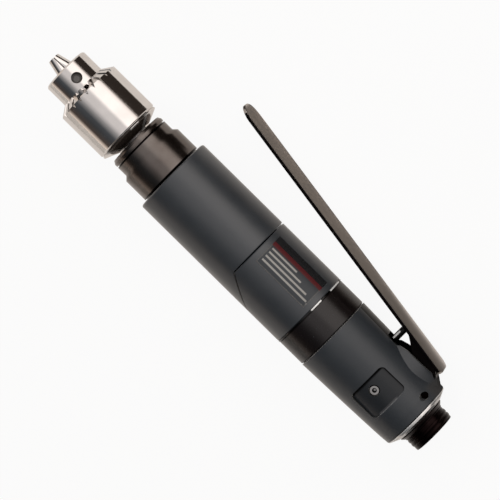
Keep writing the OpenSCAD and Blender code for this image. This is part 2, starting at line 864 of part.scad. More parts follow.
// Planet gear on its carrier pin, in mesh with the pinion and the ring gear
module planet_gear(i) {
    color(steel) lay_down() rotate([0, 0, 360 * i / planet_n]) translate([carrier_r, 0, planet_z])
        difference() {
            linear_extrude(planet_len)
                gear_outline(pinion_z, backlash, 180 / pinion_z, 1, tooth_foot_share);
            bore(planet_pin_r + running, -over, planet_len + 2 * over);
        }
}

module planet_gear_1() {
    planet_gear(0);
}

module planet_gear_2() {
    planet_gear(1);
}

module planet_gear_3() {
    planet_gear(2);
}

module planet_pins() {
    head_z = planet_z - room - pin_head_len;
    color(steel) lay_down() for (i = [0 : planet_n - 1]) rotate([0, 0, 360 * i / planet_n])
        translate([carrier_r, 0, 0]) {
            bore(planet_pin_r, head_z, carrier_z + carrier_len - head_z);
            bore(planet_pin_r * pin_head_share, head_z, pin_head_len);
        }
}

module spindle() {
    front_z = carrier_z + carrier_len;
    step_r = spindle_r + spindle_shoulder;
    step_z = bush_z + bush_len + room;
    color(steel) lay_down() difference() {
        turned([
            [0, carrier_z], [carrier_plate_r, carrier_z], [carrier_plate_r, front_z], [spindle_r, front_z],
            [spindle_r, step_z], [step_r, step_z], [step_r, bearing_z],
            [spindle_r, bearing_z], [spindle_r, chuck_z], [thread_r, chuck_z],
            [thread_r, chuck_z + hub_len - 2 * edge], [thread_r - edge, chuck_z + hub_len - edge],
            [0, chuck_z + hub_len - edge]
        ]);
        for (i = [0 : planet_n - 1]) rotate([0, 0, 360 * i / planet_n]) translate([carrier_r, 0, 0])
            bore(planet_pin_r + slip, carrier_z - over, carrier_len + 2 * over);
    }
}

module spindle_bush() {
    color(brass) lay_down() tube(bush_r, spindle_r + running, bush_z, bush_len);
}

module gear_case() {
    color(black_oxide) lay_down() difference() {
        union() {
            turned([
                [0, spigot_z], [motor_r, spigot_z], [motor_r, seam_z], [case_r, seam_z],
                [case_r, grip_end_z], [case_r - groove_depth, grip_end_z],
                [case_r - groove_depth, grip_end_z + groove_w], [case_r, grip_end_z + groove_w],
                [case_r, case_neck_z], [cap_r, case_neck_z + case_r - cap_r], [cap_r, cap_z], [0, cap_z]
            ]);
            seam_ring();
        }
        bore(ring_outer_r + slip, spigot_z - over, ring_seat + ring_gear_len + over);
        bore(carrier_plate_r + 2 * edge, spigot_z, bush_z - spigot_z);
        bore(bush_r + slip, spigot_z, bush_z + bush_len - spigot_z);
        bore(spindle_r + spindle_shoulder + 2 * edge, spigot_z, cap_z - spigot_z);
        bore(spindle_bearing_r + slip, bearing_z, cap_z - bearing_z + over);
    }
}

// Thin ring that closes the seam behind the grip, left out where the grip's tongue passes
module seam_ring() {
    difference() {
        bore(grip_r - seam_depth, seam_z - seam + slip, seam - 2 * slip);
        tongue_wedge(seam);
    }
}

module front_grip() {
    inner_r = case_r + slip;
    color(composite) lay_down() difference() {
        union() {
            turned(concat(
                [[0, seam_z], [grip_r - edge, seam_z], [grip_r, seam_z + edge]],
                arc([grip_r - grip_round, grip_end_z - grip_round], grip_round, 0, 90),
                [[0, grip_end_z]]));
            intersection() {
                bore(grip_r, seam_z - tongue_len - over, tongue_len + 2 * over);
                tongue_wedge(0);
            }
        }
        bore(inner_r, seam_z, grip_len + over);
        bore(neck_r + slip, seam_z - tongue_len - over, tongue_len + over);
    }
}

// One piece of a ball bearing that starts at z: outer ring, inner ring, or balls with their cage
module ball_bearing(piece, r_in, r_out, w, balls, z) {
    middle_r = (r_in + r_out) / 2;
    ball_r = (r_out - r_in) * ball_share;
    lift = ball_r * race_share;
    translate([0, 0, z]) {
        if (piece == "outer") ball_race(r_out, middle_r + lift, w, middle_r, ball_r + ball_gap);
        if (piece == "inner") ball_race(middle_r - lift, r_in, w, middle_r, ball_r + ball_gap);
        if (piece == "balls") {
            difference() {
                tube(middle_r + ball_r * cage_share, middle_r - ball_r * cage_share,
                    w / 2 - ball_r * cage_w_share, 2 * ball_r * cage_w_share);
                ball_ring(balls, middle_r, ball_r + ball_gap, w / 2);
            }
            ball_ring(balls, middle_r, ball_r, w / 2);
        }
    }
}

module ball_race(r_out, r_in, w, middle_r, groove_r) {
    rotate_extrude() difference() {
        translate([r_in, 0]) square([r_out - r_in, w]);
        translate([middle_r, w / 2]) circle(r = groove_r);
    }
}

module ball_ring(balls, middle_r, r, z) {
    for (i = [0 : balls - 1]) rotate([0, 0, 360 * i / balls]) translate([middle_r, 0, z]) sphere(r = r);
}

module rotor_bearing(piece, plate_z) {
    color(bright) lay_down()
        ball_bearing(piece, shaft_r, rotor_bearing_r, rotor_bearing_w, rotor_balls_n, plate_z + plate_wall);
}

module rear_bearing_outer() {
    rotor_bearing("outer", rear_plate_z);
}

module rear_bearing_inner() {
    rotor_bearing("inner", rear_plate_z);
}

module rear_bearing_balls() {
    rotor_bearing("balls", rear_plate_z);
}

module front_bearing_outer() {
    rotor_bearing("outer", front_plate_z);
}

module front_bearing_inner() {
    rotor_bearing("inner", front_plate_z);
}

module front_bearing_balls() {
    rotor_bearing("balls", front_plate_z);
}

module spindle_bearing(piece) {
    color(bright) lay_down() ball_bearing(
        piece, spindle_r + slip, spindle_bearing_r, spindle_bearing_w, spindle_balls_n, bearing_z);
}

module spindle_bearing_outer() {
    spindle_bearing("outer");
}

module spindle_bearing_inner() {
    spindle_bearing("inner");
}

module spindle_bearing_balls() {
    spindle_bearing("balls");
}

module bearing_cap() {
    back_z = bearing_z + spindle_bearing_w;
    front_z = cap_z + cap_len;
    groove_z = front_z - groove_inset;
    spigot_r = spindle_bearing_r - slip;
    spigot_in_r = spigot_r - spigot_wall;
    seal_r = spindle_r + seal_wall + 2 * slip;
    color(black_oxide) lay_down() difference() {
        turned([
            [0, back_z], [spigot_r, back_z], [spigot_r, cap_z], [cap_r, cap_z],
            [cap_r, groove_z - groove_w], [cap_r - groove_depth, groove_z - groove_w],
            [cap_r - groove_depth, groove_z], [cap_r, groove_z],
            [cap_r, front_z - cap_chamfer_len], [cap_r - cap_chamfer, front_z], [0, front_z]
        ]);
        bore(spigot_in_r, bearing_z, spindle_bearing_w + cap_spigot_len);
        bore(seal_r, bearing_z, front_z - cap_lip - bearing_z);
        bore(spindle_r + 2 * edge, bearing_z, cap_z + cap_len);
    }
}

module spindle_seal() {
    color(rubber) lay_down() tube(spindle_r + running + seal_wall, spindle_r + running,
        cap_z + cap_len - cap_lip - seal_len - slip, seal_len);
}

// Places a jaw's slanting axis: its local Z runs from the closed tip back and outward
module jaw_axis(i) {
    rotate([0, 0, key_angle + 60 + 120 * i]) translate([jaw_tip_x, 0, jaw_tip_z])
        rotate([0, 180 - jaw_slant, 0]) children();
}

module chuck_body() {
    groove_r = jaw_outer_r(teeth_z) - groove_clear;
    flange_r = sleeve_r - flange_drop;
    color(bright) lay_down() difference() {
        turned([
            [0, chuck_z], [chuck_neck_r, chuck_z], [chuck_neck_r, chuck_z + chuck_neck_len],
            [flange_r - edge, flange_z], [flange_r, flange_z + edge], [flange_r, sleeve_z - 2 * edge],
            [flange_r - edge, sleeve_z - edge], [chuck_core_r, sleeve_z - edge],
            [chuck_core_r, nut_z - room], [groove_r, nut_z - room], [groove_r, teeth_z + room],
            [nose_r, teeth_z + room], [nose_r, nose_end_z - 2 * edge], [nose_r - 2 * edge, nose_end_z],
            [0, nose_end_z]
        ]);
        bore(thread_r + slip, chuck_z - over, hub_len + over);
        bore(shank_hole_r, chuck_z + hub_len + hub_wall, jaw_tip_z - chuck_z);
        for (i = [0 : 2]) {
            difference() {
                jaw_axis(i) bore(jaw_r + running, 0, jaw_reach);
                bore(shank_hole_r - edge, chuck_z, jaw_tip_z - chuck_z + over);
            }
            spoke(key_r, nose_r - key_depth, nose_r + over, key_angle + 120 * i, nose_end_z - key_inset);
        }
    }
}

module chuck_sleeve() {
    color(bright) lay_down() difference() {
        turned([
            [0, sleeve_z], [sleeve_r - edge, sleeve_z], [sleeve_r, sleeve_z + edge],
            [sleeve_r, teeth_z], [sleeve_r - bevel_edge, teeth_z + bevel_edge],
            [bevel_small_r, nose_z], [0, nose_z]
        ]);
        bore(sleeve_bore_r, sleeve_z - over, teeth_z - sleeve_z + over);
        bore(nose_r + running, sleeve_z, nose_z - sleeve_z + over);
        for (i = [0 : tooth_n - 1]) rotate([0, 0, 360 * i / tooth_n]) tooth_cut();
    }
}

// V-shaped gap between two key teeth, cut along the bevel
module tooth_cut() {
    slope = atan2(bevel_len - bevel_edge, sleeve_r - bevel_edge - bevel_small_r);
    half_w = PI * (bevel_small_r + sleeve_r) / 2 / tooth_n * tooth_share * 2;
    run = sleeve_r;
    translate([bevel_small_r, 0, nose_z]) rotate([0, slope, 0]) translate([-over, 0, 0])
        rotate([90, 0, 90]) linear_extrude(run)
            polygon([[0, -tooth_depth], [half_w, tooth_depth], [-half_w, tooth_depth]]);
}

module chuck_nut() {
    out_r = sleeve_bore_r - slip;
    color(steel) lay_down() difference() {
        turned([
            [jaw_outer_r(nut_z) + running, nut_z], [out_r, nut_z], [out_r, teeth_z],
            [jaw_outer_r(teeth_z) + running, teeth_z]
        ]);
        translate([0, 0, nut_z + nut_len / 2])
            cube([3 * sleeve_r, nut_split, nut_len + over], center = true);
    }
}

// Jaw: a slanting rod whose front is ground to two faces that meet on the tool axis
module chuck_jaw(i) {
    turn = key_angle + 60 + 120 * i;
    color(bright) lay_down() intersection() {
        jaw_axis(i) bore(jaw_r, -jaw_len, 2 * jaw_len);
        rotate([0, 0, turn]) translate([2 * jaw_gap, 0, jaw_back_z]) linear_extrude(jaw_tip_z - jaw_back_z)
            polygon([[0, 0], [sleeve_r * cos(60), -sleeve_r * sin(60)], [2 * sleeve_r, 0],
                [sleeve_r * cos(60), sleeve_r * sin(60)]]);
    }
}

module chuck_jaw_1() {
    chuck_jaw(0);
}

module chuck_jaw_2() {
    chuck_jaw(1);
}

module chuck_jaw_3() {
    chuck_jaw(2);
}

inlet_bushing();
inlet_screen();
rear_ring();
throttle_housing();
valve_seat();
throttle_valve();
valve_spring();
throttle_plunger();
plunger_bushing();
plunger_o_ring();
throttle_lever();
lever_pin();
side_screw();
exhaust_band();
muffler_ring();
spacer_ring();
motor_housing();
label_plate();
motor_cylinder();
rotor();
vanes();
rear_end_plate();
front_end_plate();
motor_dowel();
rear_bearing_outer();
rear_bearing_inner();
rear_bearing_balls();
front_bearing_outer();
front_bearing_inner();
front_bearing_balls();
front_grip();
gear_case();
ring_gear();
planet_gear_1();
planet_gear_2();
planet_gear_3();
planet_pins();
spindle();
spindle_bush();
spindle_bearing_outer();
spindle_bearing_inner();
spindle_bearing_balls();
bearing_cap();
spindle_seal();
chuck_body();
chuck_sleeve();
chuck_nut();
chuck_jaw_1();
chuck_jaw_2();
chuck_jaw_3();
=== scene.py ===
"""Looks of a straight air drill: finishes for its solids, modelled trim pieces and a studio stage."""

import json
import math

import bmesh
import bpy
from bpy.props import FloatProperty, FloatVectorProperty, IntProperty, PointerProperty
from mathutils import Matrix, Vector

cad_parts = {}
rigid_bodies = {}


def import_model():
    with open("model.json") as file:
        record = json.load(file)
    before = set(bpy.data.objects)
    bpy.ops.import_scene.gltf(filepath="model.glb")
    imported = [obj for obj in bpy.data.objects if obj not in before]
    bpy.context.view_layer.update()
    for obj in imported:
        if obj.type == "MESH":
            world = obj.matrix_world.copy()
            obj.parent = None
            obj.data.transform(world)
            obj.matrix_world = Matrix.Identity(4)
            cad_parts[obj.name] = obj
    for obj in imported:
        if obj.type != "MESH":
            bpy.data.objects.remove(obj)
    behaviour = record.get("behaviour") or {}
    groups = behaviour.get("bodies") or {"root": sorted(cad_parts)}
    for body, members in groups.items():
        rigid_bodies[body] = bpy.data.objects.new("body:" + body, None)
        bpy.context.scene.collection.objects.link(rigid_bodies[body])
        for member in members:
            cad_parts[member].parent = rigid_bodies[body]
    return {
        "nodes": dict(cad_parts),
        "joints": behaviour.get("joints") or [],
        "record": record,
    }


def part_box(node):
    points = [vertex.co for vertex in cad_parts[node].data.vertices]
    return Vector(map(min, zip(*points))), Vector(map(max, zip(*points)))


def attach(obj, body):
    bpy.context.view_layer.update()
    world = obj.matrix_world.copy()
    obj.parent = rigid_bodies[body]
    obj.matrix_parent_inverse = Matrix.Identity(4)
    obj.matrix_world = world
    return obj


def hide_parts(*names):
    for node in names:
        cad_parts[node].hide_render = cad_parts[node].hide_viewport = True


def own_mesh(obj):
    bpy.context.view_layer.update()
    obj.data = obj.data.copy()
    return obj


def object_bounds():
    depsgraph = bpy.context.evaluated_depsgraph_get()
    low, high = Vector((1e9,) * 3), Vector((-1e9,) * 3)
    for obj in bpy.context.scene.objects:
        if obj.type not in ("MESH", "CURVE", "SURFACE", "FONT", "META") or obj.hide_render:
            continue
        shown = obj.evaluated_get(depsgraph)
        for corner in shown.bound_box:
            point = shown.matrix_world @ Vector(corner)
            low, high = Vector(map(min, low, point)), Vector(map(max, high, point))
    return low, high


bl_info = {
    "name": "Straight Air Drill",
    "version": (1, 0, 0),
    "blender": (4, 5, 0),
    "location": "View3D > Sidebar > Air Drill",
    "description": "Finishes and trim pieces of a straight air drill on a plain studio stage",
    "category": "Object",
}

for startup_object in list(bpy.data.objects):
    bpy.data.objects.remove(startup_object)

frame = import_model()
CAD_BOX = [list(corner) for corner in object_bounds()]
NODES = frame["nodes"]
JOINTS = {joint["name"]: joint for joint in frame["joints"]}
MOUNTS = {mount["name"]: mount for mount in frame["record"]["mounts"]}
MM = 0.001
AXIS = Vector((1, 0, 0))

# The tool lies rolled about its axis: the lever's hinge axis tells by how much
LEVER_AXIS = Vector(JOINTS["lever_swing"]["axis"])
ROLL = math.atan2(-LEVER_AXIS.y, LEVER_AXIS.z)
LEVER_WAY = Vector((0, -math.cos(ROLL), -math.sin(ROLL)))
SIDE_WAY = Vector((0, math.sin(ROLL), -math.cos(ROLL)))


def upright(a, b):
    """Unit vector square to the tool axis, at shares of the lever's way and of the hidden side's way."""
    return LEVER_WAY * a + SIDE_WAY * b


class Wire:
    """A socket of a shader tree that takes part in Python sums."""

    def __init__(self, tree, socket):
        self.tree = tree
        self.socket = socket

    def node(self, kind, settings=None, out=0, **inputs):
        """Adds a node of a kind, sets its settings, then its sockets by name, and returns one output."""
        made = self.tree.nodes.new(kind)
        for key, value in (settings or {}).items():
            if key == "stops":
                fill_ramp(made.color_ramp, value)
            else:
                setattr(made, key, value)
        for key, value in inputs.items():
            index = int(key[1:]) if key[0] == "i" and key[1:].isdigit() else key.replace("_", " ")
            plug(self.tree, made.inputs[index], value)
        return Wire(self.tree, made.outputs[out])

    def maths(self, operation, first, second):
        """Result of an operation on two values."""
        return self.node("ShaderNodeMath", {"operation": operation}, i0=first, i1=second)

    def __add__(self, other):
        return self.maths("ADD", self, other)

    def __radd__(self, other):
        return self.maths("ADD", other, self)

    def __sub__(self, other):
        return self.maths("SUBTRACT", self, other)

    def __rsub__(self, other):
        return self.maths("SUBTRACT", other, self)

    def __mul__(self, other):
        return self.maths("MULTIPLY", self, other)

    def __rmul__(self, other):
        return self.maths("MULTIPLY", other, self)

    def __pow__(self, other):
        return self.maths("POWER", self, other)

    def clip(self, low, high):
        """This value mapped from low and high to 0 and 1, and held there."""
        return self.node("ShaderNodeMapRange", Value=self, From_Min=low, From_Max=high)

    def past(self, place, soft):
        """0 before a place and 1 past it, with an edge that is soft as far as this on both sides."""
        return self.clip(place - soft, place + soft)

    def between(self, low, high, soft=0.1 * MM):
        """1 where this value lies between two limits, with soft edges."""
        return self.past(low, soft) * (1 - self.past(high, soft))

    def size(self):
        """This value without its sign."""
        return self.maths("ABSOLUTE", self, 0.0)

    def floor(self, low):
        """This value, or a low limit where that is more."""
        return self.maths("MAXIMUM", self, low)

    def ceiling(self, high):
        """This value, or a high limit where that is less."""
        return self.maths("MINIMUM", self, high)

    def blend(self, first, second):
        """Colour that goes from the first to the second as this value goes from 0 to 1."""
        return self.node("ShaderNodeMix", {"data_type": "RGBA"}, out=2, i0=self, i6=first, i7=second)

    def vector(self, operation, *others, out=0):
        """This vector after an operation of Vector Math, which may take other vectors."""
        inputs = {f"i{index}": value for index, value in enumerate((self, *others))}
        return self.node("ShaderNodeVectorMath", {"operation": operation}, out=out, **inputs)

    def dot(self, way):
        """Share of this vector that lies along a way."""
        return self.vector("DOT_PRODUCT", way, out=1)


def plug(tree, socket, value):
    """Links a wire to a socket, or sets the socket's own value."""
    if isinstance(value, Wire):
        tree.links.new(value.socket, socket)
    elif hasattr(value, "__len__") and socket.type == "RGBA":
        socket.default_value = (*value[:3], 1)
    else:
        socket.default_value = value


def fill_ramp(ramp, stops):
    """Sets a colour ramp to stops of place and colour."""
    while len(ramp.elements) < len(stops):
        ramp.elements.new(1)
    for element, (place, colour) in zip(ramp.elements, stops):
        element.position = place
        element.color = (*colour, 1)


class Finish:
    """A new material with a Principled shader, its Object coordinates and a bump."""

    def __init__(self, name):
        self.material = bpy.data.materials.new(name)
        self.material.use_nodes = True
        self.tree = self.material.node_tree
        self.tree.nodes.clear()
        self.shader = self.tree.nodes.new("ShaderNodeBsdfPrincipled")
        self.end = self.tree.nodes.new("ShaderNodeOutputMaterial")
        self.tree.links.new(self.shader.outputs[0], self.end.inputs["Surface"])
        self.wire = Wire(self.tree, None)
        self.place = self.wire.node("ShaderNodeTexCoord", out=3)

    def set(self, **inputs):
        """Sets the shader's sockets by name."""
        for key, value in inputs.items():
            plug(self.tree, self.shader.inputs[key.replace("_", " ")], value)
        return self

    def cover(self, mask, coat):
        """Covers the surface with another shader where the mask is 1."""
        both = self.wire.node(
            "ShaderNodeMixShader", i0=mask, i1=Wire(self.tree, self.shader.outputs[0]), i2=coat)
        self.tree.links.new(both.socket, self.end.inputs["Surface"])

    def noise(self, size, detail=2.0, stretch=(1, 1, 1)):
        """Noise with grains of a size in metres, stretched along the axes, from 0 to 1."""
        scale = [1 / (size * s) for s in stretch]
        vector = self.wire.node("ShaderNodeMapping", Vector=self.place, Scale=scale)
        return self.wire.node("ShaderNodeTexNoise", Vector=vector, Scale=1.0, Detail=detail)

    def turning(self, size):
        """Fine rings round the tool axis, as a lathe or a grinder leaves them, from 0 to 1."""
        return self.wire.node(
            "ShaderNodeTexNoise", {"noise_dimensions": "1D"}, W=self.axial() * (1 / size),
            Scale=1.0, Detail=3.0)

    def bump(self, height, depth, strength, **normal):
        """Raises the surface by a height from 0 to 1, times a depth in metres."""
        return self.set(Normal=self.wire.node(
            "ShaderNodeBump", Height=height, Distance=depth, Strength=strength, **normal))

    def rounded(self, mask):
        """The surface's normal, turned square to the tool axis where the mask is 1."""
        flat = self.wire.node("ShaderNodeNewGeometry", out=1)
        outward = self.place.vector("MULTIPLY", (0, 1, 1)).vector("NORMALIZE")
        return self.wire.node(
            "ShaderNodeMix", {"data_type": "VECTOR"}, out=1, i0=mask, i4=flat, i5=outward)

    def share(self, way):
        """Distance from the frame's origin along a way, in metres."""
        return self.place.dot(way)

    def axial(self):
        """Distance from the inlet's end along the tool axis, in metres."""
        return self.share(AXIS)

    def bored(self, centre, way, radius, depth):
        """1 inside a round hole that goes from a place down against a way."""
        soft = 0.05 * MM
        from_centre = self.place.vector("SUBTRACT", centre)
        aside = from_centre.vector("CROSS_PRODUCT", way).vector("LENGTH", out=1)
        return (1 - aside.past(radius, soft)) * from_centre.dot(way).between(-depth, 0, soft)

    def shaded(self, colour, metallic, shade, dark=(0, 0, 0), gleam=1.0):
        """Sets colour and metal, and takes the light from grooves and holes where the shade is 1."""
        if shade is None:
            return self.set(Base_Color=colour, Metallic=metallic)
        return self.set(
            Base_Color=shade.blend(colour, dark), Metallic=shade * gleam + (1 - shade) * metallic)


def scaled(colour, share):
    """A colour with its levels times a share."""
    return [level * share for level in colour]


def moulded(name, colour, pale, roughness, gloss, shade=None, lip=None, darker=None):
    """Satin moulded composite: grain, cloud, painted shade in hollows and a matt part, and a painted lip
    highlight.
    """
    finish = Finish(name)
    grain = finish.noise(0.35 * MM, detail=3.0)
    cloud = finish.noise(14 * MM)
    spots = finish.noise(1.6 * MM, detail=4.0).clip(0.62, 0.74)
    tone = (cloud * 0.7 + grain * 0.5 - 0.1).clip(0.2, 0.8).blend(colour, pale)
    # Painted highlight: the lip goes to a paler colour
    if lip:
        tone = lip(finish).blend(tone, colours().composite_lip)
    finish.shaded(tone, 0.0, shade and shade(finish))
    # Painted shade: a darker matt diffuse covers this part
    if darker:
        matt = finish.wire.node("ShaderNodeBsdfDiffuse", Color=colours().composite_heel_shade)
        finish.cover(darker(finish), matt)
    finish.set(
        Roughness=roughness + grain * 0.12 + cloud * 0.10 - spots * 0.05, Specular_IOR_Level=gloss,
        Sheen_Weight=0.45, Sheen_Roughness=0.30, Sheen_Tint=(1.0, 0.93, 0.86))
    return finish.bump(grain, depth=0.03 * MM, strength=0.35).material


def turned_metal(
        name, colour, stain, roughness, ring=0.12 * MM, depth=0.002 * MM, shade=None, step=None, metallic=1.0,
        **dark):
    """Turned metal: rings of the tool, faint stains and fingermarks, painted shade in grooves and softened
    steps.
    """
    finish = Finish(name)
    rings = finish.turning(ring)
    stains = finish.noise(9 * MM, detail=4.0)
    smear = finish.noise(5 * MM, detail=3.0, stretch=(3, 1, 1)).clip(0.45, 0.75)
    finish.shaded(stains.clip(0.35, 0.75).blend(colour, stain), metallic, shade and shade(finish), **dark)
    finish.set(Roughness=roughness + rings * 0.07 + smear * 0.05 - 0.03)
    normal = {"Normal": finish.rounded(step(finish))} if step else {}
    return finish.bump(rings, depth, strength=0.5, **normal).material


def gloss_coat(name, colour, pale, roughness):
    """Smooth gloss surface with faint wipe marks."""
    finish = Finish(name)
    wipe = finish.noise(6 * MM, detail=4.0, stretch=(1, 4, 4))
    dust = finish.noise(0.8 * MM).clip(0.66, 0.78)
    finish.set(Base_Color=dust.blend(colour, pale), Roughness=roughness + wipe * 0.10 + dust * 0.12)
    return finish.bump(wipe, depth=0.01 * MM, strength=0.15).material


def plated_sheet(name, colour, stain, roughness, *fades):
    """Satin plated sheet steel, brushed along the lever. A fade is a mask and the tone that it brings."""
    finish = Finish(name)
    brushed = finish.noise(0.25 * MM, detail=3.0, stretch=(60, 1, 1))
    stains = finish.noise(11 * MM, detail=3.0)
    tone = (stains * 0.7 + brushed * 0.3).clip(0.35, 0.7).blend(colour, stain)
    for mask, tint in fades:
        tone = mask(finish).blend(tone, tint)
    finish.set(
        Base_Color=tone, Metallic=1.0, Roughness=roughness + brushed * 0.10 + stains * 0.08 - 0.06)
    return finish.bump(brushed, depth=0.004 * MM, strength=0.4).material


def fibrous(name, colour, pale, roughness):
    """Fibre laminate or rubber: a dull surface with short fibres."""
    finish = Finish(name)
    fibre = finish.noise(0.3 * MM, detail=5.0, stretch=(4, 1, 1))
    finish.set(Base_Color=fibre.blend(colour, pale), Roughness=roughness + fibre * 0.1)
    return finish.bump(fibre, depth=0.05 * MM, strength=0.5).material


def dress(names, material):
    """Gives CAD nodes a material in place of their plain one."""
    for name in names:
        slots = NODES[name].data.materials
        slots.clear()
        slots.append(material)


def deselect():
    """Leaves edit mode and deselects everything."""
    if bpy.context.object and bpy.context.object.mode == "EDIT":
        bpy.ops.object.mode_set(mode="OBJECT")
    bpy.ops.object.select_all(action="DESELECT")


def named(name):
    """Names the piece that was added last and brings its place into its mesh."""
    piece = bpy.context.object
    piece.name = name
    piece.data.name = name
    bpy.ops.object.transform_apply(location=True, rotation=True, scale=True)
    return piece


def editing(piece):
    """Opens a piece, and it alone, in edit mode."""
    deselect()
    piece.select_set(True)
    bpy.context.view_layer.objects.active = piece
    bpy.ops.object.mode_set(mode="EDIT")


def pick(piece, kind, test):
    """Selects only those faces, edges or vertices of a piece in edit mode that pass a test."""
    bpy.ops.mesh.select_mode(type=kind)
    bpy.ops.mesh.select_all(action="DESELECT")
    mesh = bmesh.from_edit_mesh(piece.data)
    parts = {"FACE": mesh.faces, "EDGE": mesh.edges, "VERT": mesh.verts}[kind]
    found = [part for part in parts if test(part)]
    if not found:
        raise RuntimeError(f"nothing to select on {piece.name}")
    for part in found:
        part.select = True
    mesh.select_flush_mode()
    bmesh.update_edit_mesh(piece.data)


def push(length):
    """Extrudes the selected faces along the tool axis."""
    bpy.ops.mesh.extrude_region_move(TRANSFORM_OT_translate={"value": AXIS * length})


def apply_modifiers(piece):
    """Applies all modifiers of a piece."""
    deselect()
    piece.select_set(True)
    bpy.context.view_layer.objects.active = piece
    for modifier in list(piece.modifiers):
        bpy.ops.object.modifier_apply(modifier=modifier.name)


def join(pieces):
    """Joins pieces into the first of them."""
    deselect()
    for piece in pieces:
        piece.select_set(True)
    bpy.context.view_layer.objects.active = pieces[0]
    bpy.ops.object.join()
    return pieces[0]


def cleaned(piece, angle=32):
    """Merges doubles, turns the faces outwards and shades by angle."""
    editing(piece)
    bpy.ops.mesh.select_all(action="SELECT")
    bpy.ops.mesh.remove_doubles(threshold=0.002 * MM)
    bpy.ops.mesh.normals_make_consistent(inside=False)
    bpy.ops.object.mode_set(mode="OBJECT")
    bpy.ops.object.shade_smooth_by_angle(angle=math.radians(angle))
    return piece


def finished(piece, body, node, slot, *materials):
    """Gives a modelled piece its materials and makes it ride in place of its CAD node."""
    piece.data.materials.clear()
    for material in materials:
        piece.data.materials.append(material)
    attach(piece, body)
    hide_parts(node)


def at(value, goal, slack=0.02 * MM):
    """Whether a place is at its goal."""
    return abs(value - goal) < slack


def helix(name, radius, half_width, height_share, start, pitch, turns, sides, steps):
    """Rod wound about the tool axis: a thread's ridge or a spring's wire."""
    deselect()
    bpy.ops.mesh.primitive_circle_add(
        vertices=sides, radius=half_width, location=(start, 0, radius), rotation=(math.pi / 2, 0, 0))
    rod = named(name)
    editing(rod)
    bpy.ops.mesh.select_all(action="SELECT")
    bpy.ops.transform.resize(value=(1, 1, height_share), center_override=(start, 0, radius))
    bpy.ops.object.mode_set(mode="OBJECT")
    winding = rod.modifiers.new("winding", "SCREW")
    winding.axis = "X"
    winding.angle = 2 * math.pi * turns
    winding.screw_offset = pitch * turns
    winding.steps = winding.render_steps = int(steps * turns)
    apply_modifiers(rod)
    editing(rod)
    bpy.ops.mesh.select_all(action="SELECT")
    bpy.ops.mesh.fill_holes(sides=sides)
    bpy.ops.object.mode_set(mode="OBJECT")
    return rod


def round_screw(finish, radius):
    """1 within a radius of the side screw's axis, on the screw's side of the tool."""
    low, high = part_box("side_screw")
    reach = 35 * MM
    past_axis = 5 * MM
    outside = AXIS * ((low.x + high.x) / 2) - SIDE_WAY * reach
    return finish.bored(outside, -SIDE_WAY, radius, depth=reach + past_axis)


def length_prop(name, description, size):
    """Property for a length that is given in millimetres."""
    return FloatProperty(name=name, description=description, default=size * MM, unit="LENGTH")


def angle_prop(name, description, degrees):
    """Property for an angle that is given in degrees."""
    return FloatProperty(
        name=name, description=description, default=math.radians(degrees), unit="ROTATION")


def brightness_prop(name, description, brightness):
    """Property for a brightness."""
    return FloatProperty(name=name, description=description, default=brightness)


def share_prop(name, description, share):
    """Property for a share of the whole."""
    return FloatProperty(name=name, description=description, default=share, subtype="FACTOR")


def colour_prop(name, description, levels):
    """Property for a colour."""
    return FloatVectorProperty(name=name, description=description, default=levels, subtype="COLOR")


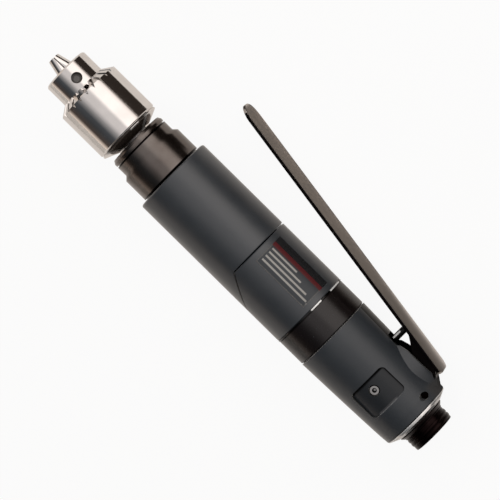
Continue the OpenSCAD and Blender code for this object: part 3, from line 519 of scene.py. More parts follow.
class DrillSizes(bpy.types.PropertyGroup):
    """Sizes of the modelled pieces."""

    thread_pitch: length_prop("Thread pitch", "Pitch of the inlet collar's outside thread", 2.3)
    thread_height: length_prop("Thread height", "Height of the outside thread", 0.35)
    thread_length: length_prop("Thread length", "Length of the outside thread", 7.2)
    collar_radius: length_prop("Collar radius", "Radius of the inlet collar over its thread", 12.3)
    shoulder_start: length_prop("Shoulder start", "Place where the collar widens to its shoulder", 8)
    shoulder_flat: length_prop("Shoulder flat", "Length of the shoulder's straight rim", 0.6)
    bore_pitch: length_prop("Bore pitch", "Pitch of the inlet's inside thread", 1.41)
    shank_radius: length_prop("Shank radius", "Radius of the inlet bushing's shank", 8.45)
    skirt_radius: length_prop("Skirt radius", "Radius of the hollow in the shank", 7.2)
    mouth_round: length_prop("Mouth rounding", "Rounding of the inlet's mouth", 0.5)
    lever_thickness: length_prop("Lever thickness", "Thickness of the lever's sheet", 1.8)
    lever_drop: length_prop("Lever drop", "Distance of the lever's sheet from its pin", 11.4)
    lever_tilt: angle_prop("Lever tilt", "Tilt of the released lever", 9)
    lever_tip_round: length_prop("Tip rounding", "Radius of the corners at the lever's tip", 8.5)
    lever_rear_round: length_prop("Rear rounding", "Radius of the corners at the lever's rear", 4)
    lever_rear: length_prop("Lever rear", "Start of the lever's sheet in front of its pin", 3.5)
    lever_edge: length_prop("Lever edge", "Rounding of the lever's edges", 0.4)
    lever_crown: length_prop("Lever crown", "Height by which the sheet is crowned across its width", 0.25)
    ear_thickness: length_prop("Ear thickness", "Thickness of the lever's ears", 1.8)
    ear_inside: length_prop("Ear inside", "Distance of an ear's inner face from the middle", 2.65)
    ear_radius: length_prop("Ear radius", "Radius of the ears round the pin", 3.5)
    ear_rear: length_prop("Ear rear", "Rear end of an ear's root on the sheet", 8)
    ear_front: length_prop("Ear front", "Front end of an ear's root on the sheet", 29.5)
    ear_root: length_prop("Ear root", "Height of an ear's front and depth of its root", 1)
    pin_radius: length_prop("Pin hole", "Radius of the pin hole in the ears", 2.1)
    # The lever is made darker behind these places: fully up to the first, fading out by the second
    darker_rear_start: length_prop("Handled part", "Place up to which the lever is dulled by the hand", 35)
    darker_rear_end: length_prop("Handled end", "Place where the dulled part of the lever has faded out", 100)
    # Painted shade covers the boss's heel, from this distance off the tool axis
    heel_height: length_prop("Heel height", "Distance of the boss's dull heel from the tool axis", 17)
    heel_end: length_prop("Heel end", "Front end of the heel, where the lever's slot opens", 20)
    recess_start: length_prop(
        "Recess start", "Rear edge of the side recess from the housing's rear end", 14)
    recess_length: length_prop("Recess length", "Length of the side recess", 17)
    recess_half: length_prop("Recess half", "Half of the side recess's height", 11.5)
    recess_round: length_prop("Recess rounding", "Radius of the side recess's corners", 2.5)
    # Painted shade: a dark line inside the recess's edge
    recess_line: length_prop("Recess line", "Width of the dark line inside the recess's edge", 0.5)
    # Painted shade fills the lever's slot, within this half width
    slot_half: length_prop("Slot half", "Half of the lever slot's width", 5.1)
    slot_floor: length_prop("Slot floor", "Distance of the slot's floor from the tool axis", 12.5)
    screw_radius: length_prop("Screw radius", "Radius of the side screw's head", 2.3)
    # Painted shade in the side screw's socket
    socket_radius: length_prop("Socket radius", "Radius of the side screw's dark socket", 1.25)
    # Painted shade fills the nose's grooves
    groove_width: length_prop("Groove width", "Width of the grooves in the nose", 0.8)
    grip_length: length_prop("Grip length", "Length of the front grip from its seam", 56.2)
    tongue_length: length_prop("Tongue length", "Length of the grip's tongue behind its seam", 20.9)
    tongue_height: length_prop("Tongue height", "Height of the tongue above the grip's lowest line", 14.6)
    # Painted shade in the gap along the tongue
    tongue_gap: length_prop("Tongue gap", "Length of the dark gap along the tongue", 0.9)
    neck_length: length_prop("Neck length", "Length of the gear case's neck with its sloped step", 4)
    step_length: length_prop("Step length", "Length of the gear case's sloped step", 2)
    groove_inset: length_prop("Groove inset", "Distance of the cap's groove from its front", 3.7)
    key_hole_depth: length_prop("Key hole rim", "Height of a key hole's rim above its mount", 2.2)
    label_cell: length_prop("Label cell", "Size of the cells of the label's print", 0.5)
    label_thickness: length_prop("Label thickness", "Thickness of the label plate", 0.3)
    wire_radius: length_prop("Spring wire", "Radius of the valve spring's wire", 0.5)
    spring_turns: IntProperty(
        name="Spring turns", description="Number of turns of the valve spring", default=5, min=2)


class DrillColours(bpy.types.PropertyGroup):
    """Colours of the finishes."""

    composite: colour_prop("Composite", "Moulded housings", (0.021, 0.025, 0.030))
    composite_pale: colour_prop("Composite, pale", "Pale grain of the housings", (0.031, 0.035, 0.040))
    composite_lip: colour_prop("Composite, lip", "Lit rear edge of the side recess", (0.10, 0.10, 0.105))
    # Painted shade on the heel behind the lever, as a darker matt colour
    composite_heel_shade: colour_prop("Composite, dull", "Heel behind the lever", (0.052, 0.050, 0.049))
    gloss_black: colour_prop("Gloss black", "Exhaust band, inlet and lever pin", (0.005, 0.003, 0.003))
    black_oxide: colour_prop("Black oxide", "Gear case and bearing cap", (0.162, 0.146, 0.136))
    oxide_stain: colour_prop("Oxide stain", "Brown stains of the oxide", (0.126, 0.108, 0.098))
    polished: colour_prop("Polished steel", "Chuck and side screw", (0.80, 0.775, 0.755))
    # Painted shade in the key holes and on the back of the chuck
    hole: colour_prop("Hole", "Key holes and the shaded back of the chuck", (0.034, 0.026, 0.021))
    trim: colour_prop("Bright trim", "Plunger and bright rings", (0.96, 0.94, 0.92))
    nickel: colour_prop("Nickel", "Lever's plated sheet", (0.60, 0.56, 0.525))
    # Painted reflection: a paler colour toward the lever's far edge, for the bright floor seen in it
    nickel_far_reflection: colour_prop("Nickel, pale", "Lever's far edge", (0.94, 0.89, 0.85))
    # The lever's rear part is made darker
    nickel_darker_rear: colour_prop("Nickel, dull", "Lever's handled rear part", (0.37, 0.345, 0.322))
    # Near-black for one side edge of the lever, partly a dark cut edge and partly painted shade, and painted
    # shade on its ears and under its rims
    dark_edge_and_ear_shade: colour_prop("Sheared edge", "Lever's dark edge and ears", (0.006, 0.005, 0.005))
    steel: colour_prop("Machined steel", "Motor, gears and bearings", (0.46, 0.46, 0.47))
    steel_dark: colour_prop("Dark steel", "Shaded bevel of the rear ring", (0.045, 0.040, 0.037))
    bronze: colour_prop("Bronze", "Bushes and seats", (0.55, 0.36, 0.15))
    rubber: colour_prop("Rubber", "Seals", (0.012, 0.012, 0.012))
    rubber_pale: colour_prop("Rubber, pale", "Pale bloom of the seals", (0.02, 0.02, 0.02))
    fibre: colour_prop("Fibre", "Vanes", (0.20, 0.16, 0.11))
    fibre_pale: colour_prop("Fibre, pale", "Pale fibres of the vanes", (0.33, 0.28, 0.20))
    label: colour_prop("Label", "Black part of the label", (0.012, 0.012, 0.013))
    stripe: colour_prop("Label stripe", "Stripe across the label", (0.085, 0.008, 0.010))
    rule: colour_prop("Label lines", "Blank lines on the label", (0.32, 0.30, 0.275))
    # Painted highlight: the label's border is paler, for the light on its raised edge
    border: colour_prop("Label border", "Fine border of the label", (0.075, 0.072, 0.068))


class DrillStage(bpy.types.PropertyGroup):
    """Camera, lights, floor and cards."""

    orbit: angle_prop(
        "Orbit", "Turn of the camera about the tool axis, from the label's side to the lever", 17)
    slant: angle_prop("Slant", "Slant of the tool in the picture", 44.57)
    aim: length_prop("Aim", "Place on the tool axis at the middle of the picture", 130.9)
    aside: length_prop(
        "Aside", "Distance of the picture's middle from the tool axis, toward the lever", 0.63)
    distance: length_prop("Distance", "Distance of the camera from the tool axis", 1650)
    field: length_prop("Field", "Width of the picture at the tool axis", 251.7)
    floor: colour_prop("Floor", "Colour of the floor", (0.88, 0.83, 0.78))
    floor_white: share_prop("Floor white", "Share of full white that the floor shows the camera", 0.92)
    key: brightness_prop("Key light", "Brightness of the soft box", 1.25)
    fill: brightness_prop("Fill light", "Brightness of the fill box", 0.30)
    ambient: brightness_prop("Ambient", "Light of the studio all round", 0.40)
    gleam: brightness_prop("Gleam", "Brightness of the reflected soft box", 2.0)
    rear_shade: share_prop(
        "Rear shade", "Share of the reflected light that is missing toward the rear", 0.8)
    floor_gleam: share_prop("Floor gleam", "Share of full white that the floor shows in reflections", 0.55)
    floor_tint: colour_prop("Floor tint", "Tint of the floor in reflections", (0.86, 0.78, 0.72))
    card_dark: colour_prop("Dark cards", "Colour of the cards beside the tool", (0.042, 0.032, 0.027))
    card_brown: colour_prop("Brown card", "Colour of the card under the lever", (0.36, 0.326, 0.296))
    key_shift: length_prop("Key shift", "Distance of the soft box toward the chuck", 450)


# Studio as reflections see it: angle about the tool from the camera toward the lever, and colour
STUDIO = (
    (-180, (0.44, 0.37, 0.32)), (-98, (0.44, 0.37, 0.32)), (-84, (0.034, 0.026, 0.022)),
    (-64, (0.024, 0.025, 0.027)), (-48, (0.034, 0.037, 0.041)), (-32, (0.17, 0.165, 0.165)),
    (-18, (0.37, 0.35, 0.345)), (4, (0.38, 0.36, 0.355)), (13, (0.71, 0.665, 0.64)),
    (43, (0.71, 0.655, 0.625)), (52, (0.57, 0.52, 0.49)), (58, (0.056, 0.043, 0.036)),
    (180, (0.050, 0.038, 0.032)))

# Sectors about the tool axis, in degrees from the camera's way toward the lever: shade and glint on the
# chuck's back, shade on the rear ring, and the stretches of the spacer ring that lie in the light
BACK_SHADE = (-62, 50)
BACK_GLINT = (4, 25)
RING_SHADE = (-45, 42)
SPACER_LIGHTS = ((1, 21), (40, 71))

# Label's materials, the last one a painted highlight on the border, shares of its height at the stripe's
# edges and at the first blank line, the lines' pitch, height and margin in cells, and their lengths as shares
# of the label's length
BLACK, STRIPE, RULE, GREY, BORDER_HIGHLIGHT = range(5)
STRIPE_EDGES = (0.22, 0.35)
FIRST_LINE = 0.41
LINE_PITCH = 5
LINE_HEIGHT = 2
LINE_MARGIN = 2
LABEL_LINES = (0.56, 0.70, 0.88, 0.96)


def sizes():
    """Sizes of this scene's drill."""
    return bpy.context.scene.drill_sizes


def colours():
    """Colours of this scene's drill."""
    return bpy.context.scene.drill_colours


def turned_way(angle):
    """Direction at an angle from the camera's way, about the tool axis, toward the lever."""
    turn = ROLL + bpy.context.scene.drill_stage.orbit + angle
    return Vector((0, -math.sin(turn), math.cos(turn)))


class DRILL_OT_housings(bpy.types.Operator):
    """Gives the moulded housings their satin composite"""

    bl_idname = "drill.housings"
    bl_label = "Finish housings"

    def execute(self, context):
        satin = {"colour": colours().composite, "pale": colours().composite_pale, "roughness": 0.26}
        composite = moulded("moulded_composite", **satin, gloss=0.92, shade=self.tongue)
        dress(["motor_housing", "front_grip"], composite)
        throttle = moulded(
            "moulded_throttle", **satin, gloss=0.62, shade=self.hollows, lip=self.lip, darker=self.heel)
        dress(["throttle_housing"], throttle)
        return {"FINISHED"}

    def tongue(self, finish):
        """Painted shade in the gap along the slanting edge of the grip's tongue."""
        size = sizes()
        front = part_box("front_grip")[1]
        seam = front.x - size.grip_length
        below = (size.tongue_height - front.y - finish.share(LEVER_WAY)).floor(0)
        past = finish.axial() + below * (size.tongue_length / size.tongue_height)
        gap = past.between(seam - size.tongue_gap, seam + size.tongue_gap / 3, 0.2 * MM)
        return gap * below.clip(0, 0.3 * MM)

    def hollows(self, finish):
        """Painted shade in the side recess, in the lever's slot and on the rim at the rear."""
        size = sizes()
        # Painted shade inside the lever's slot
        slot = finish.share(SIDE_WAY).between(-size.slot_half, size.slot_half)
        slot = slot * finish.share(LEVER_WAY).past(size.slot_floor, 0.5 * MM)
        slot = slot * finish.axial().past(size.heel_end, MM)
        # Painted shade on the rim at the rear, in the gap to the rear ring
        rim_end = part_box("throttle_housing")[0].x + 0.55 * MM
        rim = 1 - finish.axial().past(rim_end, 0.25 * MM)
        return (self.recess(finish) * self.near(finish) + slot + rim * 0.85).ceiling(1)

    def recess(self, finish):
        """Painted shade on the recess floor, the line round it, its front end and the gap round its screw."""
        size = sizes()
        axial = finish.axial()
        rear = self.recess_rear()
        front = rear + size.recess_length
        border = self.border(finish)
        upper = finish.share(LEVER_WAY).clip(-size.recess_half, size.recess_half)
        line = border.between(-size.recess_line, 0.1 * MM, 0.15 * MM)
        line = line * axial.past(rear + 1.5 * MM, 0.5 * MM)
        line = line * (upper * 1.3 + 0.3).ceiling(1)
        floor = 1 - border.past(-0.25 * MM, 0.15 * MM)
        end = floor * axial.past(front - 1.2 * MM, 0.4 * MM)
        gap = round_screw(finish, size.screw_radius + 0.6 * MM)
        # The floor is darker, as a dark plate, and its painted shade grows toward the lever's side
        floor_dark = upper * 0.36 + 0.16
        return line * 0.9 + floor * floor_dark + end * 0.5 + gap

    def recess_rear(self):
        """Place of the side recess's rear edge."""
        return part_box("throttle_housing")[0].x + sizes().recess_start

    def border(self, finish):
        """Distance outside the round-cornered edge of the side recess, less than 0 inside it."""
        size = sizes()
        half = size.recess_length / 2
        along = (finish.axial() - (self.recess_rear() + half)).size() - (half - size.recess_round)
        aside = finish.share(LEVER_WAY).size() - (size.recess_half - size.recess_round)
        out_along = along.floor(0)
        out_aside = aside.floor(0)
        corner = (out_along * out_along + out_aside * out_aside) ** 0.5
        return corner + along.floor(aside).ceiling(0) - size.recess_round

    def near(self, finish):
        """1 on the side of the tool that has the recess."""
        return 1 - finish.share(SIDE_WAY).past(-7 * MM, MM)

    def lip(self, finish):
        """Rear edge of the side recess, which catches the light."""
        rear = self.recess_rear()
        edge = finish.axial().between(rear - 0.3 * MM, rear + 0.9 * MM, 0.2 * MM)
        lit = finish.share(LEVER_WAY).between(-7.2 * MM, 5.6 * MM, 0.8 * MM)
        return edge * lit * self.near(finish)

    def heel(self, finish):
        """Painted shade on the rear slope of the boss that holds the lever, as a darker matt colour."""
        size = sizes()
        high = finish.share(LEVER_WAY).past(size.heel_height, MM)
        return high * (1 - finish.axial().past(size.heel_end, MM))


class DRILL_OT_band(bpy.types.Operator):
    """Gives the exhaust band its gloss black"""

    bl_idname = "drill.band"
    bl_label = "Finish exhaust band"

    def execute(self, context):
        gloss = gloss_coat("gloss_black", colours().gloss_black, colours().composite, roughness=0.20)
        dress(["exhaust_band"], gloss)
        return {"FINISHED"}


class DRILL_OT_nose(bpy.types.Operator):
    """Gives the gear case and the bearing cap their black oxide"""

    bl_idname = "drill.nose"
    bl_label = "Finish nose"

    def execute(self, context):
        oxide = turned_metal(
            "black_oxide", colours().black_oxide, colours().oxide_stain, roughness=0.20,
            shade=self.grooves, step=self.step)
        dress(["gear_case", "bearing_cap"], oxide)
        return {"FINISHED"}

    def step(self, finish):
        """Sloped step from the gear case down to its neck."""
        soft = 0.3 * MM
        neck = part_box("gear_case")[1].x - sizes().neck_length
        return finish.axial().between(neck - soft, neck + sizes().step_length + soft, soft)

    def grooves(self, finish):
        """Painted shade in the grooves behind the grip, in front of it and round the cap."""
        size = sizes()
        wide = size.groove_width
        axial = finish.axial()
        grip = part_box("front_grip")[1].x
        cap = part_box("bearing_cap")[1].x - size.groove_inset
        seam = grip - size.grip_length
        return (axial.between(seam - 2 * wide, seam + 0.3 * wide)
                + axial.between(grip - wide, grip + 1.7 * wide)
                + axial.between(cap - wide, cap + 0.3 * wide))


class DRILL_OT_chuck(bpy.types.Operator):
    """Gives the chuck and the bright rings their polish"""

    bl_idname = "drill.chuck"
    bl_label = "Finish chuck and bright pieces"

    def execute(self, context):
        polished = colours().polished
        stain = scaled(polished, 0.9)
        mirror = {
            "colour": polished, "stain": stain, "roughness": 0.09, "ring": 0.10 * MM, "depth": 0.0012 * MM}
        satin = {
            "colour": colours().trim, "stain": stain, "roughness": 0.14, "depth": 0.0005 * MM, "gleam": 0.2}
        polish = turned_metal("polished_steel", **mirror)
        dress(["chuck_sleeve", "chuck_jaw_1", "chuck_jaw_2", "chuck_jaw_3"], polish)
        body = turned_metal(
            "polished_body", **mirror, shade=self.hollows, dark=colours().hole, gleam=0.2)
        dress(["chuck_body"], body)
        screw = turned_metal("screw_steel", polished, stain, roughness=0.12, shade=self.socket)
        dress(["side_screw"], screw)
        plunger = turned_metal("plunger_steel", **satin, metallic=0.2, shade=self.plunger_shade)
        dress(["throttle_plunger"], plunger)
        ring = turned_metal(
            "ring_steel", **satin, metallic=0.5, shade=self.ring_shade, step=self.ring_face,
            dark=colours().steel_dark)
        dress(["rear_ring"], ring)
        spacer = turned_metal("spacer_steel", **satin, metallic=0.2, shade=self.spacer_shade)
        dress(["spacer_ring"], spacer)
        return {"FINISHED"}

    def ring_face(self, finish):
        """Front half of the rear ring, whose edge is rolled over."""
        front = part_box("rear_ring")[1].x
        return finish.axial().between(front - 1.5 * MM, front + MM)

    def ring_shade(self, finish):
        """Rear half of the rear ring, a dark bevel that the inlet shades most toward the camera."""
        bevel_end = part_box("rear_ring")[1].x - 1.55 * MM
        behind = 1 - finish.axial().past(bevel_end, 0.15 * MM)
        return behind * (self.sector(finish, *RING_SHADE, soft=7 * MM) * 0.6 + 0.4)

    def plunger_shade(self, finish):
        """Plunger in the shadow of lever and slot, which leave a strip of its front in the light."""
        low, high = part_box("throttle_plunger")
        middle = (low.x + high.x) / 2
        strip = finish.axial().between(middle + 0.45 * MM, middle + 1.3 * MM)
        return 1 - strip * finish.share(LEVER_WAY).between(21 * MM, 26.2 * MM)

    def spacer_shade(self, finish):
        """Spacer ring in the shadow of its neighbours, which leave stretches of it in the light."""
        first, second = (self.sector(finish, *light) for light in SPACER_LIGHTS)
        return 1 - first - second

    def sector(self, finish, first, last, soft=0.4 * MM):
        """1 between two angles about the tool axis, in degrees from the camera's way toward the lever."""
        past_first, past_last = (
            finish.share(turned_way(math.radians(degrees + 90))) for degrees in (first, last))
        return past_first.clip(0, soft) * (1 - past_last.clip(-soft, 0))

    def hollows(self, finish):
        """Painted shade in key holes and on the chuck's back toward the camera, but off a glint on the
        flange.
        """
        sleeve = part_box("chuck_sleeve")[0].x
        axial = finish.axial()
        glint = axial.between(sleeve - 1.7 * MM, sleeve - MM, 0.2 * MM)
        glint = glint * self.sector(finish, *BACK_GLINT, soft=MM)
        back = 1 - axial.clip(sleeve - 0.2 * MM, sleeve)
        shade = back * self.sector(finish, *BACK_SHADE, soft=4 * MM) * (1 - glint)
        for name, mount in MOUNTS.items():
            if name.startswith("key_hole"):
                shade = shade + self.key_hole(finish, mount)
        return shade.ceiling(1)

    def key_hole(self, finish, mount):
        """Painted shade in a key hole, a little lighter at its bottom."""
        depth = 20 * MM
        way = Vector(mount["axis"])
        rim = Vector(mount["pos_m"]) + way * sizes().key_hole_depth
        radius = mount["dims"]["r_mm"] * MM
        bottom = finish.bored(rim, way, radius * 0.55, depth)
        return finish.bored(rim, way, radius + 0.1 * MM, depth) - bottom * 0.12

    def socket(self, finish):
        """Painted shade in the socket of the side screw, a dark ring round its brighter floor."""
        radius = sizes().socket_radius
        return round_screw(finish, radius) - round_screw(finish, radius * 0.45) * 0.7


class DRILL_OT_inside(bpy.types.Operator):
    """Gives the pieces inside their metals, seals and fibre"""

    bl_idname = "drill.inside"
    bl_label = "Finish inside"

    def execute(self, context):
        tones = colours()
        groups = {}
        for part in frame["record"]["subparts"]:
            groups.setdefault(part["material_slot"], []).append(part["node"])
        steel = turned_metal("machined_steel", tones.steel, scaled(tones.steel, 0.8), roughness=0.26)
        dress(groups["machined_steel"], steel)
        # Lever pin made near-black
        pin = turned_metal("pin_black", tones.gloss_black, tones.gloss_black, roughness=0.45)
        dress(["lever_pin"], pin)
        bronze = turned_metal("bronze", tones.bronze, scaled(tones.bronze, 0.7), roughness=0.28)
        dress(groups["bronze"], bronze)
        rubber = fibrous("seal_rubber", tones.rubber, tones.rubber_pale, roughness=0.6)
        dress(groups["seal_rubber"], rubber)
        fibre = fibrous("vane_fibre", tones.fibre, tones.fibre_pale, roughness=0.75)
        dress(groups["vane_fibre"], fibre)
        return {"FINISHED"}


class DRILL_OT_inlet(bpy.types.Operator):
    """Models the inlet bushing with its threads"""

    bl_idname = "drill.inlet"
    bl_label = "Inlet bushing"

    def execute(self, context):
        size = sizes()
        root = size.collar_radius - size.thread_height
        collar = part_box("rear_ring")[0].x
        mouth = MOUNTS["air_inlet"]["dims"]
        hole = mouth["r_mm"] * MM
        depth = mouth["length_mm"] * MM
        body = self.body(root, collar, hole, depth)
        pitch = size.thread_pitch
        half = pitch * 0.44
        outside = helix(
            "outside_thread", radius=root, half_width=half, height_share=size.thread_height / half,
            start=0.7 * pitch, pitch=pitch, turns=size.thread_length / pitch - 1.1, sides=8, steps=72)
        pitch = size.bore_pitch
        inside = helix(
            "inside_thread", radius=hole, half_width=pitch * 0.46, height_share=1.0,
            start=0.8 * pitch, pitch=pitch, turns=depth / pitch - 1.6, sides=4, steps=48)
        bushing = cleaned(join([body, outside, inside]), 40)
        bushing.name = "inlet_bushing_threaded"
        black = colours().gloss_black
        oxide = turned_metal("inlet_oxide", black, scaled(black, 3), roughness=0.26)
        finished(bushing, "housing", "inlet_bushing", "black_oxide", oxide)
        return {"FINISHED"}

    def body(self, root, collar, hole, depth):
        """Turned body: collar with its shoulder, shank with its hollow, and the bore."""
        size = sizes()
        tiny = 0.1 * MM
        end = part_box("inlet_bushing")[1].x
        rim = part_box("inlet_bushing")[1].y
        threaded = size.thread_length
        deselect()
        bpy.ops.mesh.primitive_cylinder_add(
            vertices=128, radius=root, depth=threaded, location=(threaded / 2, 0, 0),
            rotation=(0, math.pi / 2, 0))
        body = named("inlet_body")
        editing(body)
        pick(body, "FACE", lambda f: f.normal.x > 0.9)
        radius = root
        place = threaded
        profile = (
            (threaded + size.thread_height, size.collar_radius), (size.shoulder_start, size.collar_radius),
            (collar - size.shoulder_flat, rim), (collar, rim))
        for x, wide in profile:
            push(x - place)
            bpy.ops.transform.resize(value=(1, wide / radius, wide / radius), center_override=(x, 0, 0))
            place, radius = x, wide
        bpy.ops.mesh.inset(thickness=rim - size.shank_radius)
        push(end - collar)
        bpy.ops.mesh.inset(thickness=size.shank_radius - size.skirt_radius)
        push(depth - end)
        pick(body, "FACE", lambda f: f.normal.x < -0.9 and f.calc_center_median().x < tiny)
        bpy.ops.mesh.inset(thickness=root - hole)
        push(depth)
        pick(body, "FACE", lambda f: abs(f.normal.x) > 0.9 and at(f.calc_center_median().x, depth))
        bpy.ops.mesh.delete(type="FACE")
        pick(body, "EDGE", lambda e: e.is_boundary)
        bpy.ops.mesh.bridge_edge_loops()
        pick(body, "EDGE", lambda e: e.verts[0].co.x < tiny and e.verts[1].co.x < tiny)
        bpy.ops.mesh.bevel(offset=size.mouth_round, segments=3, affect="EDGES")
        bpy.ops.object.mode_set(mode="OBJECT")
        return body


class DRILL_OT_lever(bpy.types.Operator):
    """Models the throttle lever: a plated sheet with round edges and two ears"""

    bl_idname = "drill.lever"
    bl_label = "Throttle lever"

    def execute(self, context):
        size = sizes()
        pivot = Vector(JOINTS["lever_swing"]["pos_m"])
        tilt = size.lever_tilt
        along = AXIS * math.cos(tilt) + LEVER_WAY * math.sin(tilt)
        up = LEVER_WAY * math.cos(tilt) - AXIS * math.sin(tilt)
        across = up.cross(along)
        place = Matrix((along, across, up)).transposed().to_4x4()
        place.translation = pivot
        spots = [place.inverted() @ v.co for v in NODES["throttle_lever"].data.vertices]
        tip = max(spot.x for spot in spots)
        half = max(spot.y for spot in spots)
        sheet = self.sheet(tip, half)
        ears = [self.ear(side) for side in (-1, 1)]
        lever = self.united(sheet, ears)
        lever.matrix_world = place
        lever = named("throttle_lever_formed")
        tones = colours()
        middle = pivot.dot(across)

        # The lever is made darker toward its rear
        def darker_rear(finish):
            return 1 - finish.axial().clip(size.darker_rear_start, size.darker_rear_end)

        # Painted reflection: paler toward the far edge, for the bright floor seen in it
        def far_edge_reflection(finish):
            return finish.share(across).clip(middle + half, middle - half) ** 3

        nickel = plated_sheet(
            "lever_nickel", tones.nickel, scaled(tones.nickel, 0.86), 0.30,
            (darker_rear, tones.nickel_darker_rear), (far_edge_reflection, tones.nickel_far_reflection))
        # Near-black: one side edge, partly a dark cut edge and partly painted shade, and painted shade on the
        # ears and under the rims
        edge = plated_sheet("lever_dark_edge_and_shade", tones.dark_edge_and_ear_shade, scaled(tones.dark_edge_and_ear_shade, 2), 0.38)
        finished(lever, "lever", "throttle_lever", "lever_nickel", nickel, edge)
        under = size.lever_drop - size.lever_crown - size.lever_edge
        # Painted shade on the ears and the faces under the rims, and on the near side edge
        for face in lever.data.polygons:
            ear = (face.center - pivot).dot(up) < under
            dark_rim = face.normal.dot(across) > 0.8 or -0.95 < face.normal.dot(up) < -0.4
            face.material_index = 1 if ear or dark_rim else 0
        return {"FINISHED"}

    def sheet(self, tip, half):
        """Sheet with round corners and round edges."""
        size = sizes()
        length = tip - size.lever_rear
        deselect()
        bpy.ops.mesh.primitive_cube_add(
            size=1, location=(size.lever_rear + length / 2, 0, size.lever_drop + size.lever_thickness / 2),
            scale=(length, 2 * half, size.lever_thickness))
        sheet = named("lever_sheet")
        editing(sheet)
        for end, radius in ((tip, size.lever_tip_round), (size.lever_rear, size.lever_rear_round)):
            pick(sheet, "EDGE", lambda e: all(at(v.co.x, end) for v in e.verts)
                 and at(e.verts[0].co.y, e.verts[1].co.y))
            bpy.ops.mesh.bevel(offset=radius, segments=10, affect="EDGES")
        strips = 10
        for strip in range(1 - strips, strips):
            bpy.ops.mesh.select_all(action="SELECT")
            bpy.ops.mesh.bisect(plane_co=(0, half * strip / strips, 0), plane_no=(0, 1, 0))
        for strip in range(1, strips + 1):
            first = (strip - 0.5) / strips
            last = (strip + 0.5) / strips
            pick(sheet, "VERT", lambda v: first < abs(v.co.y) / half <= last)
            bpy.ops.transform.translate(value=(0, 0, -size.lever_crown * (strip / strips) ** 2))
        pick(sheet, "EDGE", lambda e: self.rims(e, 1)
             and any(v.co.y > size.lever_edge - half for v in e.verts))
        bpy.ops.mesh.bevel(offset=size.lever_edge, segments=4, affect="EDGES")
        pick(sheet, "EDGE", lambda e: self.rims(e, -1))
        bpy.ops.mesh.bevel(offset=size.lever_edge * 0.5, segments=3, affect="EDGES")
        bpy.ops.object.mode_set(mode="OBJECT")
        return sheet

    def rims(self, edge, side):
        """Whether an edge is the rim of the sheet's upper face, with side 1, or lower face, with -1."""
        faces = edge.link_faces
        return len(faces) == 2 and sum(face.normal.z * side > 0.7 for face in faces) == 1

    def ear(self, side):
        """Ear: a cheek cut to its slopes, with a round eye for the pin."""
        size = sizes()
        middle = side * (size.ear_inside + size.ear_thickness / 2)
        low = -size.ear_radius * math.sin(math.radians(45))
        high = size.lever_drop + size.ear_root
        deselect()
        bpy.ops.mesh.primitive_cube_add(
            size=1, location=((size.ear_front - size.ear_radius) / 2, middle, (low + high) / 2),
            scale=(size.ear_front + size.ear_radius, size.ear_thickness, high - low))
        cheek = named("lever_cheek")
        editing(cheek)
        cuts = (
            ((0, size.ear_radius), (size.ear_rear, high), -1),
            ((-low, low), (0, size.ear_radius), -1),
            ((-low, low), (size.ear_front, size.lever_drop - size.ear_root), 1))
        for first, last, way in cuts:
            run = Vector((last[0] - first[0], 0, last[1] - first[1]))
            bpy.ops.mesh.select_all(action="SELECT")
            bpy.ops.mesh.bisect(
                plane_co=(first[0], 0, first[1]), plane_no=Vector((run.z, 0, -run.x)).normalized() * way,
                use_fill=True, clear_outer=True, threshold=0.001 * MM)
        deselect()
        bpy.ops.mesh.primitive_cylinder_add(
            vertices=64, radius=size.ear_radius, depth=size.ear_thickness, location=(0, middle, 0),
            rotation=(math.pi / 2, 0, 0))
        eye = named("lever_eye")
        return self.combined(cheek, eye, "UNION")

    def combined(self, piece, tool, operation):
        """Piece joined with or cut by a tool, which goes."""
        cut = piece.modifiers.new("cut", "BOOLEAN")
        cut.operation = operation
        cut.solver = "EXACT"
        cut.object = tool
        apply_modifiers(piece)
        bpy.data.objects.remove(tool)
        return piece

    def united(self, sheet, ears):
        """Sheet and ears as one piece, with the pin hole through it."""
        size = sizes()
        for ear in ears:
            self.combined(sheet, ear, "UNION")
        deselect()
        bpy.ops.mesh.primitive_cylinder_add(
            vertices=64, radius=size.pin_radius, depth=4 * size.ear_radius, rotation=(math.pi / 2, 0, 0))
        return cleaned(self.combined(sheet, named("pin_hole"), "DIFFERENCE"), 40)


